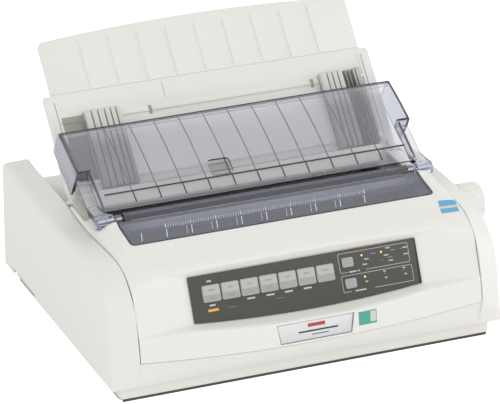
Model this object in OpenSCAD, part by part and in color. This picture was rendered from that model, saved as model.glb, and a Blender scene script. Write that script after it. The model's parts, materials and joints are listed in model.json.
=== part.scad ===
// Desktop dot matrix printer, 80 columns, with a raised rear sheet guide,
// a tinted acoustic cover and a row of keys on the front.
// Millimetres. X runs left to right, Y front to back, Z up from the table.
// Every sub-part is drawn in the case frame: x = 0 between the cheeks,
// y = 0 half way along them. seat() then moves it to the part's own origin.

/* [Case] */
// Width over both cheeks
case_w = 398; // [384:1:420]
// Length of the cheeks from front to rear
case_d = 301; // [295:1:312]
// Height of the cheeks at the rear
case_h = 125; // [123:0.5:129]
// Width of one cheek
cheek_w = 24.8; // [23:0.2:27]
// Wall of the plastic mouldings
wall = 2.5; // [2:0.1:3]
// Height of the line where the cheeks overhang the plinth
plinth_top = 16.7; // [15:0.1:18]
// Inset of the plinth under the cheeks
plinth_inset = 10.5; // [8:0.5:12]
// Rounding of the cheeks' outer edges
cheek_round = 9; // [6:0.5:11]
// Height of the rubber feet
foot_h = 3.2; // [2.5:0.1:4]
// Diameter of the rubber feet
foot_d = 18; // [14:0.5:20]
// Top of the rear wall, below the paper slot
rear_wall_top = 80; // [76:0.5:82]

/* [Upper cover] */
// Gap between the upper cover and the cheeks
cover_gap = 0.7; // [0.4:0.1:1]
// How far the front bows out at the middle
front_bow = 9.5; // [6:0.5:10]
// Width of the window opening
window_w = 310; // [302:1:311]
// Distance of the window's front edge behind the front of the cheeks
window_front = 63.6; // [61:0.2:66]
// Clearance round the window
window_gap = 0.4; // [0.3:0.1:0.6]

/* [Control panel] */
// Panel left of the keys
panel_margin = 11.7; // [10:0.1:13]
// Panel right of the small keys, where the lamps are
lamp_field = 65.9; // [62:0.1:70]
// Height of the panel along its slope
panel_h = 42.2; // [41.5:0.1:43]
// Lean of the panel from the horizontal
panel_tilt = 63.74; // [62:0.1:65]
// Thickness of the panel
panel_t = 2; // [1.6:0.1:2.4]
// Number of large keys
key_n = 7; // [7:1:7]
// Pitch of the large keys
key_pitch = 19.17; // [19:0.01:19.3]
// Width of a large key
key_w = 17.8; // [17:0.1:18]
// Height of a large key
key_h = 16; // [15:0.1:16.6]
// Width of a small key
small_key_w = 11.4; // [10.5:0.1:12]
// Height of a small key
small_key_h = 9.2; // [8.5:0.1:10]
// Travel of a key
key_travel = 0.8; // [0.5:0.1:1]
// Clearance round a key
key_gap = 0.35; // [0.3:0.05:0.5]
// Diameter of the indicator lamps
lamp_d = 2; // [1.8:0.1:2.4]

/* [Hinged covers] */
// Height of the cover hinge above the cheeks' rear height
hinge_rise = 11.3; // [10.8:0.1:12]
// Distance of the cover hinge behind the middle of the case
hinge_y = -40.4; // [-41:0.1:-40]
// Diameter of the hinge pins
pin_d = 3; // [2.6:0.1:3.4]
// Running clearance in diameter on hinge pins
pin_play = 0.1; // [0.06:0.02:0.16]
// Diameter of the acoustic cover's hinge barrels
barrel_d = 13; // [11:0.5:13.6]
// Wall of the tinted mouldings
tint_t = 2; // [1.6:0.1:2.4]
// Radius of the acoustic cover's bent panel
bend_r = 400; // [380:5:440]
// Number of ribs under the acoustic cover
cover_ribs = 11; // [9:1:13]
// Pitch of those ribs
cover_rib_pitch = 25.3; // [22:0.1:26]

/* [Sheet guide] */
// Width of the sheet guide over its side rails
guide_w = 339; // [334:1:341]
// Length of its frame from the pivot
guide_len = 108.8; // [105:0.5:112]
// Width of the paper support above the frame
support_w = 323; // [316:1:328]
// Length from the pivot to the crown of the support
support_len = 171.2; // [166:0.5:174]
// Height of the crown over the ends of the support
support_crown = 6.6; // [5:0.2:8]
// Slope of the raised guide
guide_tilt = 46.9; // [46:0.1:48]
// Thickness of its plates
guide_t = 2.5; // [2:0.1:3]
// Pitch of the support's raised ribs
guide_rib_pitch = 30; // [28:0.5:31]
// Number of raised ribs
guide_ribs = 9; // [7:1:9]
// Distance of its pivot behind the middle of the case
pivot_y = 37; // [36.4:0.1:38]

/* [Print mechanism] */
// Diameter of the platen
platen_d = 31; // [29:0.5:31.5]
// Length of the rubber platen
platen_len = 276; // [264:1:280]
// Depth of the platen's axis below the cheeks' rear height
platen_drop = 34; // [33.5:0.1:34.5]
// Distance of the platen's axis behind the middle of the case
platen_y = -38.7; // [-39:0.1:-38.4]
// Diameter of the platen shaft
platen_shaft_d = 8; // [7:0.5:9]
// Diameter of the platen knob
knob_d = 38; // [34:0.5:40]
// How far the knob stands out from the cheek
knob_out = 26; // [23:0.5:28]
// Distance between the inner faces of the side frames
frame_gap = 292; // [288:1:296]
// Thickness of the side frames
frame_t = 1.6; // [1.2:0.1:2]
// Diameter of the carriage shaft
rod_d = 10; // [9:0.5:11]
// Print width the carriage covers
print_w = 203.2; // [200:0.2:208]
// Gap between the print head and the platen
head_gap = 0.8; // [0.5:0.1:1.2]
// Tooth module of the gears
gear_m = 1; // [0.9:0.05:1.1]
// Diameter of the carriage motor
motor_d = 36; // [32:0.5:38]
// Diameter of the line feed motor
feed_motor_d = 38; // [34:0.5:39]

/* [Tractors] */
// Width of a tractor
tractor_w = 22; // [20:0.5:26]
// Length of a tractor along the paper
tractor_len = 40; // [36:1:41]
// Height of a tractor's body
tractor_h = 24; // [22:0.5:25]
// Across the flats of the square drive shaft
square_d = 8; // [7:0.5:8]
// Diameter of the tractors' support rod
support_rod_d = 6; // [5:0.5:7]

/* [Hidden] */

$fn = 48;
eps = 0.01;      // overlap of solids that are fused
far = 400;       // longer than any cut has to be

// Main lines of the case
half_w = case_w / 2;
cheek_in = half_w - cheek_w;
cover_half = cheek_in - cover_gap;
front_y = -case_d / 2;
rear_y = case_d / 2;
plinth_x = half_w - plinth_inset;
plinth_front = front_y + 6.5;
plinth_rear = rear_y - 2.5;
hinge_z = case_h + hinge_rise;
pivot_z = case_h - 1;
platen_z = case_h - platen_drop;

// The part's origin: under the middle of its bounding box
knob_tip = half_w + knob_out;
body_front = front_y - 8.1 - front_bow;
guide_rear = pivot_y + support_len * cos(guide_tilt) + 0.6;
shift_x = -(knob_tip - half_w) / 2;
shift_y = -(body_front + guide_rear) / 2;

// Colours
cream = "#e9e8e2";
grey = "#b9bab6";
dark = "#55524f";
steel = "#b8bcc0";
tint = [0.42, 0.43, 0.55, 0.5];

module seat() translate([shift_x, shift_y, 0]) children();

// A flat YZ outline, drawn as (y, z), made solid from x0 to x1
module along_x(x0, x1) translate([x0, 0, 0]) rotate([90, 0, 90]) linear_extrude(x1 - x0) children();

// The same thing on both sides of the machine
module both_sides() {
    children();
    mirror([1, 0, 0]) children();
}

// A cylinder along X from x0 to x1 with its axis at (y, z)
module rod_x(x0, x1, y, z, d) translate([x0, y, z]) rotate([0, 90, 0]) cylinder(h = x1 - x0, d = d);

// A box given by its low and high corners
module block(a, b) translate(a) cube(b - a);

module rounded(w, h, r) {
    for (x = [r, w - r], y = [r, h - r]) translate([x, y]) circle(r, $fn = 24);
    translate([r, 0]) square([w - 2 * r, h]);
    translate([0, r]) square([w, h - 2 * r]);
}

// Solid skin over rings of points that each lie in a plane of constant x
module skin(rings) {
    m = len(rings);
    n = len(rings[0]);
    sides = [for (i = [0:m - 2], j = [0:n - 1])
        [i * n + j, i * n + (j + 1) % n, (i + 1) * n + (j + 1) % n, (i + 1) * n + j]];
    first = [for (j = [n - 1:-1:0]) j];
    last = [for (j = [0:n - 1]) (m - 1) * n + j];
    polyhedron([for (r = rings) each r], concat(sides, [first, last]), convexity = 6);
}

// Unit normal, to the right of the direction of travel, at point i of a path
function direction(p, i) = let (a = p[max(i - 1, 0)], b = p[min(i + 1, len(p) - 1)], d = b - a) d / norm(d);
function inset(p, i, t) = let (d = direction(p, i)) p[i] + t * [d[1], -d[0]];

// ---------------------------------------------------------------- cheeks
// Side outline of a cheek, rear foot to front foot: y and z on its inner
// face, y and z on its outer face, and the share of the edge rounding.
rear_edge = rear_y;
cheek_line = [
    [rear_edge, plinth_top, rear_edge, plinth_top, 0],
    [rear_edge, case_h - 30, rear_edge, case_h - 30, 0],
    [rear_edge - 0.5, case_h - 3.5, rear_edge - 0.5, case_h - 4, 0.12],
    [rear_edge - 3.5, case_h + 1, rear_edge - 3.5, case_h + 0.4, 0.2],
    [rear_edge - 28, case_h + 0.8, rear_edge - 28, case_h - 3, 0.6],
    [rear_edge - 60, case_h + 0.5, rear_edge - 60, case_h - 7.6, 1],
    [rear_edge - 91, case_h, rear_edge - 91, case_h - 11.6, 1],
    [rear_edge - 112, case_h - 0.8, rear_edge - 116, case_h - 11.2, 1],
    [15, case_h - 3.6, 12, case_h - 10, 1],
    [-6.5, case_h - 5.3, -10, case_h - 9.2, 1],
    [-44.5, case_h - 4.6, -40, case_h - 8.6, 1],
    [front_y + 78, case_h - 3, front_y + 81, case_h - 9.6, 1],
    [front_y + 53, case_h - 2.4, front_y + 59, case_h - 13, 1],
    [front_y + 32, case_h - 6.5, front_y + 40, case_h - 18.6, 1],
    [front_y + 20, case_h - 14.6, front_y + 27, case_h - 27, 1],
    [front_y + 11.5, case_h - 22.5, front_y + 17, case_h - 37.5, 1],
    [front_y + 4.5, case_h - 32, front_y + 11, case_h - 51, 1],
    [front_y, case_h - 44, front_y + 7.6, case_h - 64, 1],
    [front_y - 3.6, case_h - 57, front_y + 5, case_h - 78, 0.8],
    [front_y - 7.8, plinth_top + 29, front_y + 2.6, plinth_top + 14, 0.5],
    [front_y, plinth_top, front_y, plinth_top, 0]];

// Outline at a share s from the inner face (0) to the outer one (1), drawn in by t
function cheek_ring(x, s, t, r) =
    let (p = [for (q = cheek_line) [q[0], q[1]] * (1 - s) + [q[2], q[3]] * s])
    [for (i = [len(p) - 1:-1:0])
        let (d = direction(p, i), q = p[i] + (t + r * cheek_line[i][4]) * [-d[1], d[0]])
        [x, q[0], max(q[1], plinth_top)]];

// Outer steps of the rounded edge
round_steps = [0, 20, 40, 60, 78];
module cheek_skin(t) {
    x0 = cheek_in + t;
    flat = half_w - cheek_round;
    skin(concat(
        [for (x = [x0, (x0 + flat) / 2]) cheek_ring(x, (x - cheek_in) / cheek_w, t, 0)],
        [for (a = round_steps)
            let (r = cheek_round - t, x = flat + r * sin(a))
            cheek_ring(x, (x - cheek_in) / cheek_w, t, r * (1 - cos(a)))]));
}

side_open_top = 92;   // the cheeks are open to the works below this height
module cheek() {
    difference() {
        cheek_skin(0);
        difference() {
            cheek_skin(wall);
            block([0, -far, 0], [far, far, plinth_top + wall]);
        }
        block([cheek_in - 1, front_y + 12, plinth_top + wall], [cheek_in + 2 * wall, rear_y - 8, side_open_top]);
        // hand hold along the bottom edge near the rear
        block([plinth_x + wall, 64, 0], [far, rear_y - 25.6, plinth_top + 5.3]);
    }
}

// ---------------------------------------------------------------- lower case
band_back = 1.4;   // the front band lies this far behind the cover's lip
function bow(x) = front_bow * (1 - pow(x / cover_half, 2));
function lip_y(x) = front_y - 8 - bow(x);
function lip_z(x) = plinth_top + 28 - 0.5 * bow(x);
band_steps = [-1, -0.8, -0.6, -0.4, -0.2, 0, 0.2, 0.4, 0.6, 0.8, 1];

module front_band() {
    w = cheek_in + wall / 2;
    skin([for (k = band_steps)
        let (x = k * w, xx = min(abs(x), cover_half), y = lip_y(xx) + band_back, z = lip_z(xx) - 0.5)
        [[x, front_y, plinth_top], [x, y, z], [x, y + wall + 5, z], [x, y + wall + 5, z - wall],
         [x, y + wall, z - wall], [x, front_y + wall, plinth_top + wall],
         [x, plinth_front + wall, plinth_top + wall], [x, plinth_front + wall, plinth_top]]]);
}

module plinth() difference() {
    block([-plinth_x, plinth_front, foot_h], [plinth_x, plinth_rear, plinth_top + wall]);
    block([-plinth_x + wall, plinth_front + wall, 0], [plinth_x - wall, plinth_rear - wall, far]);
}

skirt_inset = 9.2;   // inset of the rear cover's skirts from the cheeks
slot_half = cheek_in - skirt_inset;
knob_hole = platen_shaft_d + 6;
switch_y = -62;
switch_z = 58;
switch_w = 13;
switch_h = 21;
switch_pin_d = 3;
switch_axle_in = 6.8;   // depth of the switch axle inside the cheek
play = 0.1;
module switch_axle(d) translate([half_w - switch_axle_in, switch_y - switch_w / 2 - 2.4, switch_z]) rotate([-90, 0, 0])
    cylinder(h = switch_w + 4.8, d = d);
inlet_x = -118;
inlet_z = 38;
ports_z = 26;

module lower_case() color(cream) seat() difference() {
    union() {
        both_sides() cheek();
        front_band();
        plinth();
        // rear wall and the ledge that joins it to the plinth
        block([-cheek_in - wall, rear_y - wall, plinth_top], [cheek_in + wall, rear_y, rear_wall_top]);
        block([-plinth_x, plinth_rear - wall, plinth_top], [plinth_x, rear_y, plinth_top + wall]);
        both_sides() block([plinth_x - wall, plinth_front, plinth_top],
            [half_w - cheek_round, plinth_rear, plinth_top + wall]);
        // ears that carry the power switch
        for (y = [switch_y - switch_w / 2 - 2.4, switch_y + switch_w / 2 + 0.4])
            block([half_w - 10, y, switch_z - 4], [half_w - wall + eps, y + 2, switch_z + 4]);
    }
    rod_x(cheek_in - 1, far, platen_y, platen_z, knob_hole);
    block([half_w - 2 * wall, switch_y - switch_w / 2, switch_z - switch_h / 2],
          [far, switch_y + switch_w / 2, switch_z + switch_h / 2]);
    switch_axle(switch_pin_d + play);
    block([inlet_x - 14, rear_y - 2 * wall, inlet_z - 10.5], [inlet_x + 14, far, inlet_z + 10.5]);
    for (p = port_list)
        block([p[0] - p[1] / 2, rear_y - 2 * wall, ports_z - p[2] / 2], [p[0] + p[1] / 2, far, ports_z + p[2] / 2]);
    for (k = [0:7]) block([-62 + 7 * k, rear_y - 2 * wall, 50], [-59 + 7 * k, far, 70]);   // air slots
}

foot_at = [for (x = [-plinth_x + 24, plinth_x - 24], y = [plinth_front + 22, plinth_rear - 22]) [x, y]];
module rubber_feet() color("#3b3936") seat()
    for (c = foot_at)
        translate([c[0], c[1], 0]) difference() {
            cylinder(h = foot_h, d = foot_d);
            translate([0, 0, -eps]) cylinder(h = 1.4, d = 5);
        }

base_t = 1.5;
base_top = foot_h + base_t;
pan_inset = 0.8;
pan_z = 0.7;      // the pan hangs this far above the table
screw_head = 7;
screw_at = [for (x = [-plinth_x + 12, plinth_x - 12], y = [plinth_front + 46, plinth_rear - 46]) [x, y]];
module base_plate() color("#4b4740") seat() {
    difference() {
        union() {
            // pan under the plinth, with rounded corners, and its floor inside the plinth
            translate([-plinth_x + pan_inset, plinth_front + pan_inset, pan_z]) linear_extrude(foot_h - pan_z)
                rounded(2 * (plinth_x - pan_inset), plinth_rear - plinth_front - 2 * pan_inset, 9);
            block([-plinth_x + wall, plinth_front + wall, foot_h - eps], [plinth_x - wall, plinth_rear - wall, base_top]);
        }
        for (x = [-60, 0, 60], k = [-3:3]) block([x - 18, -60 + 8 * k, 0], [x + 18, -57 + 8 * k, 20]);
        for (c = foot_at) translate([c[0], c[1], -1]) cylinder(h = 1 + foot_h, d = foot_d + 0.2);
        for (c = screw_at) translate([c[0], c[1], -1]) cylinder(h = 1 + foot_h, d = screw_head + 0.6);
    }
    belt_post();
}

// ---------------------------------------------------------------- upper cover
// Profile of the cover from its lower lip to its rear: y and z at the middle,
// y and z at the sides, and which law leads from one to the other
// (0: bowed over the whole width, 1: rounded shoulder beside the window).
crest = hinge_z + 1.7;
cover_line = [
    [front_y - 17.5, plinth_top + 23.3, front_y - 8, plinth_top + 28, 0],
    [front_y - 16, plinth_top + 38.3, front_y - 6.3, plinth_top + 39.3, 0],
    [front_y - 12.5, plinth_top + 51.3, front_y - 3.3, plinth_top + 52.3, 0],
    [front_y - 5.5, case_h - 42, front_y + 0.5, case_h - 42, 0],
    [front_y + 5.5, case_h - 24, front_y + 7.5, case_h - 26, 0],
    [front_y + 15.5, case_h - 12.5, front_y + 18, case_h - 15, 0],
    [front_y + 25.5, case_h - 5.7, front_y + 31.5, case_h - 7, 0],
    [front_y + 42.5, case_h - 0.6, front_y + 44.5, case_h - 3.5, 0],
    [front_y + window_front, case_h + 4.8, front_y + 63.5, case_h - 2.5, 1],
    [hinge_y - 15.6, hinge_z - 1.1, hinge_y - 15.6, case_h - 4, 1],
    [hinge_y - 7, crest, hinge_y - 4, case_h - 4.5, 1],
    [hinge_y + 6, case_h + 3, hinge_y + 10, case_h - 5, 1],
    [-12, case_h + 1.5, -6.5, case_h - 5.4, 1],
    [pivot_y - 8, case_h + 1, pivot_y - 8, case_h - 1.4, 1]];
cover_rear = pivot_y - 8;
shoulder = window_w / 2;
function side_share(x, law) = law == 0 ? pow(min(1, abs(x) / cover_half), 2)
    : let (t = min(1, max(0, (abs(x) - shoulder) / (cover_half - shoulder)))) 1 - sqrt(1 - t * t);

function cover_ring(x, t, foot) =
    let (p = [for (q = cover_line) let (s = side_share(x, q[4])) [q[0], q[1]] * (1 - s) + [q[2], q[3]] * s],
         q = [for (i = [0:len(p) - 1]) inset(p, i, t)])
    concat([for (v = q) [x, v[0], v[1]]],
        [[x, cover_rear - t, case_h - 25 - foot], [x, q[0][0], q[0][1] - foot]]);

cover_steps = [-1, -0.985, -0.95, -0.92, -0.895, -0.7, -0.5, -0.25, 0, 0.25, 0.5, 0.7, 0.895, 0.92, 0.95, 0.985, 1];
module cover_skin(t, foot) skin([for (k = cover_steps) cover_ring(k * (cover_half - t), t, foot)]);

// Panel frame of reference: x across, y up the slope, z out of the panel
panel_top = [front_y + 22.1, case_h - 16.4];
module on_panel() translate([0, panel_top[0], panel_top[1]]) rotate([panel_tilt, 0, 0]) children();

small_gap = 7.81;    // from the large keys' pitch to the small keys
panel_w = panel_margin + key_n * key_pitch + small_gap + small_key_w + lamp_field;

// Sunk field with sloping sides round the panel
field_top = 34;      // the flanks reach this far beside the panel at its top,
field_low = 51;      // this far at its bottom,
field_over = 6.6;    // this far above it
field_under = 3.7;   // and this far below it,
field_rise = 4;      // at this height over its face
field_out = 14;
module panel_field(grow) on_panel() {
    k = (field_out + panel_t) / (field_rise + panel_t);
    x_top = panel_w / 2 + field_top * k + grow;
    x_low = panel_w / 2 + field_low * k + grow;
    hull() {
        translate([0, 0, -panel_t - grow]) linear_extrude(0.1) panel_outline(grow);
        translate([0, 0, field_out]) linear_extrude(0.1) polygon([[-x_top, field_over * k + grow],
            [x_top, field_over * k + grow], [x_low, -panel_h - field_under * k - grow],
            [-x_low, -panel_h - field_under * k - grow]]);
    }
}

name_top = 60.6;
name_low = 42;
name_half_top = 39;
name_half_low = 36;
name_t = 1.6;
name_sink = 0.9;
module name_outline(gap) polygon([[-name_half_low - gap, name_low - gap], [name_half_low + gap, name_low - gap],
    [name_half_top + gap, name_top + gap], [-name_half_top - gap, name_top + gap]]);
name_lean = 9.6;
name_x = -1.2;
module on_name() translate([name_x, front_y - 15.6 + name_sink, name_low + plinth_top - 16.7])
    rotate([90 - name_lean, 0, 0]) translate([0, -name_low, 0]) children();

ear_in = 147;
ear_w = 6;
barrel_in = 156;
beam_y0 = hinge_y - 9;
beam_y1 = hinge_y + 5;
beam_z0 = hinge_z - 17;
beam_z1 = hinge_z - 10;
rail_in = 157;
lever_x = -166;
lever_w = 8.4;

module upper_cover() color(cream) seat() difference() {
    union() {
        difference() {
            cover_skin(0, 0);
            difference() {
                cover_skin(wall, 40);
                panel_field(wall);
            }
            panel_field(0);
            // window opening and the paper exit behind it
            block([-window_w / 2, front_y + window_front - window_gap, case_h - 35], [window_w / 2, far, far]);
            block([-rail_in, hinge_y + 8, 0], [rail_in, far, far]);
            // key bay behind the panel
            on_panel() block([-panel_w / 2 + 5, -panel_h + 5, -20], [panel_w / 2 - 5, -4, 0]);
            on_name() linear_extrude(20) name_outline(0.2);
            // pockets for the hinge barrels and the groove of the paper lever
            both_sides() rod_x(barrel_in - 1, cover_half + 1, hinge_y, hinge_z, barrel_d + 1.5);
            block([lever_x - lever_w / 2 - 0.6, -6, case_h - 16], [lever_x + lever_w / 2 + 0.6, far, far]);
            // slot that clears the platen shaft when the cover is lifted off
            rod_x(cover_half - 2 * wall, far, platen_y, platen_z, knob_hole);
            block([cover_half - 2 * wall, platen_y - knob_hole / 2, 0], [far, platen_y + knob_hole / 2, platen_z]);
        }
        // cross beam that joins the rails and carries the hinge ears
        block([-rail_in - 2, beam_y0, beam_z0], [rail_in + 2, beam_y1, beam_z1]);
        both_sides() along_x(ear_in, ear_in + ear_w) difference() {
            union() {
                translate([hinge_y, hinge_z]) circle(d = pin_d + 6);
                polygon([[hinge_y - 5.5, beam_z0], [hinge_y + 4.5, beam_z0], [hinge_y + 4.5, hinge_z],
                         [hinge_y - 4.5, hinge_z]]);
            }
            translate([hinge_y, hinge_z]) circle(d = pin_d);
        }
        // lugs that rest the rails on the frames
        both_sides() block([rail_in, beam_y0, case_h - 24], [cover_half - wall + eps, beam_y1, beam_z0 + eps]);
    }
    both_sides() rod_x(ear_in - 1, ear_in + ear_w + 1, hinge_y, hinge_z, pin_d);
}

module hinge_pins() color(steel) seat()
    both_sides() rod_x(ear_in - 8, cover_half - 1.5, hinge_y, hinge_z, pin_d);

// ---------------------------------------------------------------- rear cover
deck_line = [[rear_y, 102], [rear_y - 46.5, case_h - 3], [rear_y - 50.5, case_h - 1.5],
             [rear_y - 66, case_h - 3], [rear_y - 84.5, case_h - 9.5], [rear_y - 101, case_h - 17]];
guide_pin_d = 5;
lug_inset = 11.5;    // from the end of the sheet guide to the lug's inner face
lug_in = guide_w / 2 - lug_inset;
lug_w = 4;
module rear_cover() color(cream) seat() {
    n = len(deck_line);
    along_x(-cheek_in + 0.4, cheek_in - 0.4) polygon(concat(deck_line,
        [for (i = [n - 1:-1:0]) deck_line[i] - [0, wall]]));
    both_sides() {
        // side skirts that stand on the rear wall's ends
        along_x(slot_half, slot_half + wall) polygon([[rear_y - 0.2, rear_wall_top], [rear_y - 0.2, 101],
            [rear_y - 46.5, case_h - 4], [rear_y - 101, case_h - 18.5], [rear_y - 101, case_h - 30],
            [rear_y - 40, rear_wall_top]]);
        // lug and pin of the sheet guide
        along_x(lug_in, lug_in + lug_w) polygon([[pivot_y - 5, pivot_z - 4], [pivot_y - 3, pivot_z + 4],
            [pivot_y + 3, pivot_z + 4], [rear_y - 99, case_h - 17.5], [rear_y - 99, case_h - 25], [pivot_y, case_h - 22]]);
        rod_x(lug_in, cheek_in - 1, pivot_y, pivot_z, guide_pin_d);
    }
}

// ---------------------------------------------------------------- control panel
module panel_outline(gap) {
    half = panel_w / 2 + gap;
    low = -panel_h - gap;
    polygon(concat([[half, gap], [-half, gap]],
        [for (k = [-6:6]) [half * k / 6, low - 2.4 * (1 - pow(k / 6, 2))]]));
}
key_left = -panel_w / 2 + panel_margin;
key_top = 10;
small_left = key_left + key_n * key_pitch + small_gap;
small_tops = [7.3, 27.2];
function key_x(k) = key_left + key_pitch * (k - 1);
lamp_pitch = 20;
lamp_gap = 9.7;
lamp_rows = [[7.7, 2], [28, 2], [15.5, 1]];   // drop below the panel's top edge, last lamp
lamp_at = [for (row = lamp_rows, k = [0:row[1]]) [small_left + small_key_w + lamp_gap + lamp_pitch * k, row[0]]];

module key_shape(w, h, gap) translate([-gap, -h - gap]) rounded(w + 2 * gap, h + 2 * gap, 1.8);

module control_panel() color(dark) seat() on_panel() difference() {
    translate([0, 0, -panel_t]) linear_extrude(panel_t) panel_outline(-0.3);
    for (k = [1:key_n]) translate([key_x(k), -key_top, -9]) linear_extrude(20) key_shape(key_w, key_h, key_gap);
    for (t = small_tops) translate([small_left, -t, -9]) linear_extrude(20)
        key_shape(small_key_w, small_key_h, key_gap);
    for (p = lamp_at) translate([p[0], -p[1], -9]) cylinder(h = 20, d = lamp_d + 0.2, $fn = 16);
}

key_proud = 1.6;
flange_gap = 0.3;
flange_t = 0.9;
switch_gap = 0.3;
key_bottom = -panel_t - flange_gap - flange_t;
board_front = key_bottom - key_travel - switch_gap - 3.4;
module key_body(x, top, w, h) color("#c8cac6") seat() on_panel() translate([x, -top, 0]) {
    translate([0, 0, key_bottom]) linear_extrude(key_proud - key_bottom) key_shape(w, h, 0);
    translate([0, 0, key_bottom]) linear_extrude(flange_t) key_shape(w, h, 0.6);
}
module panel_key(k) key_body(key_x(k), key_top, key_w, key_h);
module small_key(k) key_body(small_left, small_tops[k], small_key_w, small_key_h);

module panel_board() color("#2f6b46") seat() on_panel() {
    difference() {
        block([-panel_w / 2 + 2, -panel_h + 2, board_front - 1.6], [panel_w / 2 - 2, -2, board_front]);
        for (p = lamp_at) translate([p[0], -p[1], board_front - 9]) cylinder(h = 20, d = lamp_d, $fn = 16);
    }
    for (k = [1:key_n]) translate([key_x(k) + key_w / 2, -key_top - key_h / 2, board_front])
        cylinder(h = key_bottom - key_travel - switch_gap - board_front, d = 6, $fn = 24);
    for (t = small_tops) translate([small_left + small_key_w / 2, -t - small_key_h / 2, board_front])
        cylinder(h = key_bottom - key_travel - switch_gap - board_front, d = 6, $fn = 24);
    // posts to the back of the sunk field
    for (x = [-panel_w / 2 + 4, panel_w / 2 - 4], y = [-5, -panel_h + 5])
        translate([x, y, board_front]) cylinder(h = -panel_t - wall - board_front, d = 3.6, $fn = 24);
}

module panel_lamps() color("#e8c23c") seat() on_panel()
    for (p = lamp_at) translate([p[0], -p[1], board_front - 1.6])
        cylinder(h = 1.6 - board_front + 0.3, d = lamp_d, $fn = 16);

module nameplate() color("#dcdcdc") seat() on_name() linear_extrude(name_t) name_outline(0);

// ---------------------------------------------------------------- frames
frame_x = frame_gap / 2;
rod_y = platen_y - 45;
rod_z = platen_z - 25;
rail_y0 = rod_y - 34;
rail_y1 = rod_y - 17.5;
rail_z = platen_z - 41;
rail_t = 1.6;
stay_d = 8;
stay_at = [[rod_y + 14, 14], [64, platen_z - 31]];
stem_y = 98;
stem_z = platen_z - 12;
support_y = 84.5;
support_z = stem_z - 7.5;
roller_d = 10;
roller_gap = 0.3;
roller_z = platen_z - platen_d / 2 - roller_gap - roller_d / 2;
roller_pin = 3;

platen_teeth = 36;
idler_teeth = 24;
pinion_teeth = 12;
mesh_gap = 0.1;
train_dir = -41.7;
idler_dist = gear_m * (platen_teeth + idler_teeth) / 2 + mesh_gap;
idler_at = [platen_y, platen_z] + idler_dist * [cos(train_dir), sin(train_dir)];
pinion_dist = gear_m * (idler_teeth + pinion_teeth) / 2 + mesh_gap;
pinion_at = idler_at + pinion_dist * [cos(train_dir), sin(train_dir)];
gear_x0 = -frame_x - frame_t - 9;
gear_w = 5;

module frame_outline() difference() {
    polygon([[rail_y0 - 4, base_top], [stem_y + 34, base_top], [stem_y + 34, platen_z - 1], [stem_y + 20, platen_z + 5],
             [stem_y - 32, platen_z + 7], [pivot_y - 17, platen_z + 13], [platen_y + 24.7, platen_z + 19],
             [platen_y - 22, platen_z + 19], [platen_y - 30, platen_z - 5], [rail_y0 - 4, platen_z - 5]]);
    translate([platen_y, platen_z]) circle(d = platen_shaft_d + play);
    translate([rod_y, rod_z]) circle(d = rod_d);
    translate([platen_y, roller_z]) circle(d = roller_pin + play);
    translate([stem_y, stem_z]) circle(d = square_d * sqrt(2) + 0.6);
    translate([support_y, support_z]) circle(d = support_rod_d);
    for (s = stay_at) translate(s) circle(d = stay_d);
    translate([72, platen_z - 57]) circle(d = 34);
}

// Foot flange by which a frame stands on the base plate
module frame_foot() for (y = [rail_y0, 60])
    block([-frame_x - frame_t - 12, y, base_top], [-frame_x - frame_t + eps, y + 40, base_top + frame_t]);

module left_side_frame() color(steel) seat() {
    difference() {
        along_x(-frame_x - frame_t, -frame_x) frame_outline();
        rod_x(-far, far, pinion_at[0], pinion_at[1], 5);
    }
    frame_foot();
    rod_x(-frame_x - frame_t - 11, -frame_x - frame_t + eps, idler_at[0], idler_at[1], 4);
}

module right_side_frame() color(steel) seat() mirror([1, 0, 0]) {
    along_x(-frame_x - frame_t, -frame_x) frame_outline();
    frame_foot();
}

module frame_stays() color(steel) seat() {
    for (s = stay_at) {
        rod_x(-frame_x - frame_t, frame_x + frame_t, s[0], s[1], stay_d);
        both_sides() rod_x(frame_x + frame_t, frame_x + frame_t + 2, s[0], s[1], stay_d + 4);
    }
    // rod on which the tractors slide
    rod_x(-frame_x - frame_t, frame_x + frame_t, support_y, support_z, support_rod_d);
}

module carriage_shaft() color(steel) seat() {
    rod_x(-frame_x - frame_t, frame_x + frame_t, rod_y, rod_z, rod_d);
    both_sides() rod_x(frame_x + frame_t, frame_x + frame_t + 1.5, rod_y, rod_z, rod_d + 4);
}

module guide_rail() color(steel) seat() {
    block([-frame_x, rail_y0, rail_z - rail_t], [frame_x, rail_y1, rail_z]);
    block([-frame_x, rail_y0, rail_z - 12], [frame_x, rail_y0 + rail_t, rail_z]);
}

// ---------------------------------------------------------------- carriage drive
pulley_d = 12;
belt_t = 1;
belt_h = 6;
belt_gap = 0.3;
belt_y = rod_y - 20;
belt_z = rail_z - 17;
pulley_x = frame_x - 20;
loop_r = pulley_d / 2 + belt_gap;

// Outline of a belt's face over two equal wheels at a and b
function loop_line(a, b, r) = let (dir = atan2(b[1] - a[1], b[0] - a[0]))
    concat([for (t = [90:15:270]) a + r * [cos(dir + t), sin(dir + t)]],
           [for (t = [-90:15:90]) b + r * [cos(dir + t), sin(dir + t)]]);
module belt_loop(a, b, r) difference() {
    polygon(loop_line(a, b, r + belt_t));
    polygon(loop_line(a, b, r));
}
module drive_belt() color("#2a2a2a") seat() translate([0, 0, belt_z]) linear_extrude(belt_h)
    belt_loop([-pulley_x, belt_y], [pulley_x, belt_y], loop_r);

motor_h = belt_z - 11;
motor_shaft = 4;
module carriage_motor() color("#8d9094") seat() translate([pulley_x, belt_y, base_top]) difference() {
    union() {
        cylinder(h = motor_h, d = motor_d);
        translate([0, 0, motor_h - 1.5]) linear_extrude(1.5) translate([-motor_d / 2, -motor_d / 2])
            rounded(motor_d, motor_d, 4);
        translate([0, 0, motor_h]) cylinder(h = 2, d = 11);
    }
    translate([0, 0, 4]) cylinder(h = far, d = motor_shaft + play);
}

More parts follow.
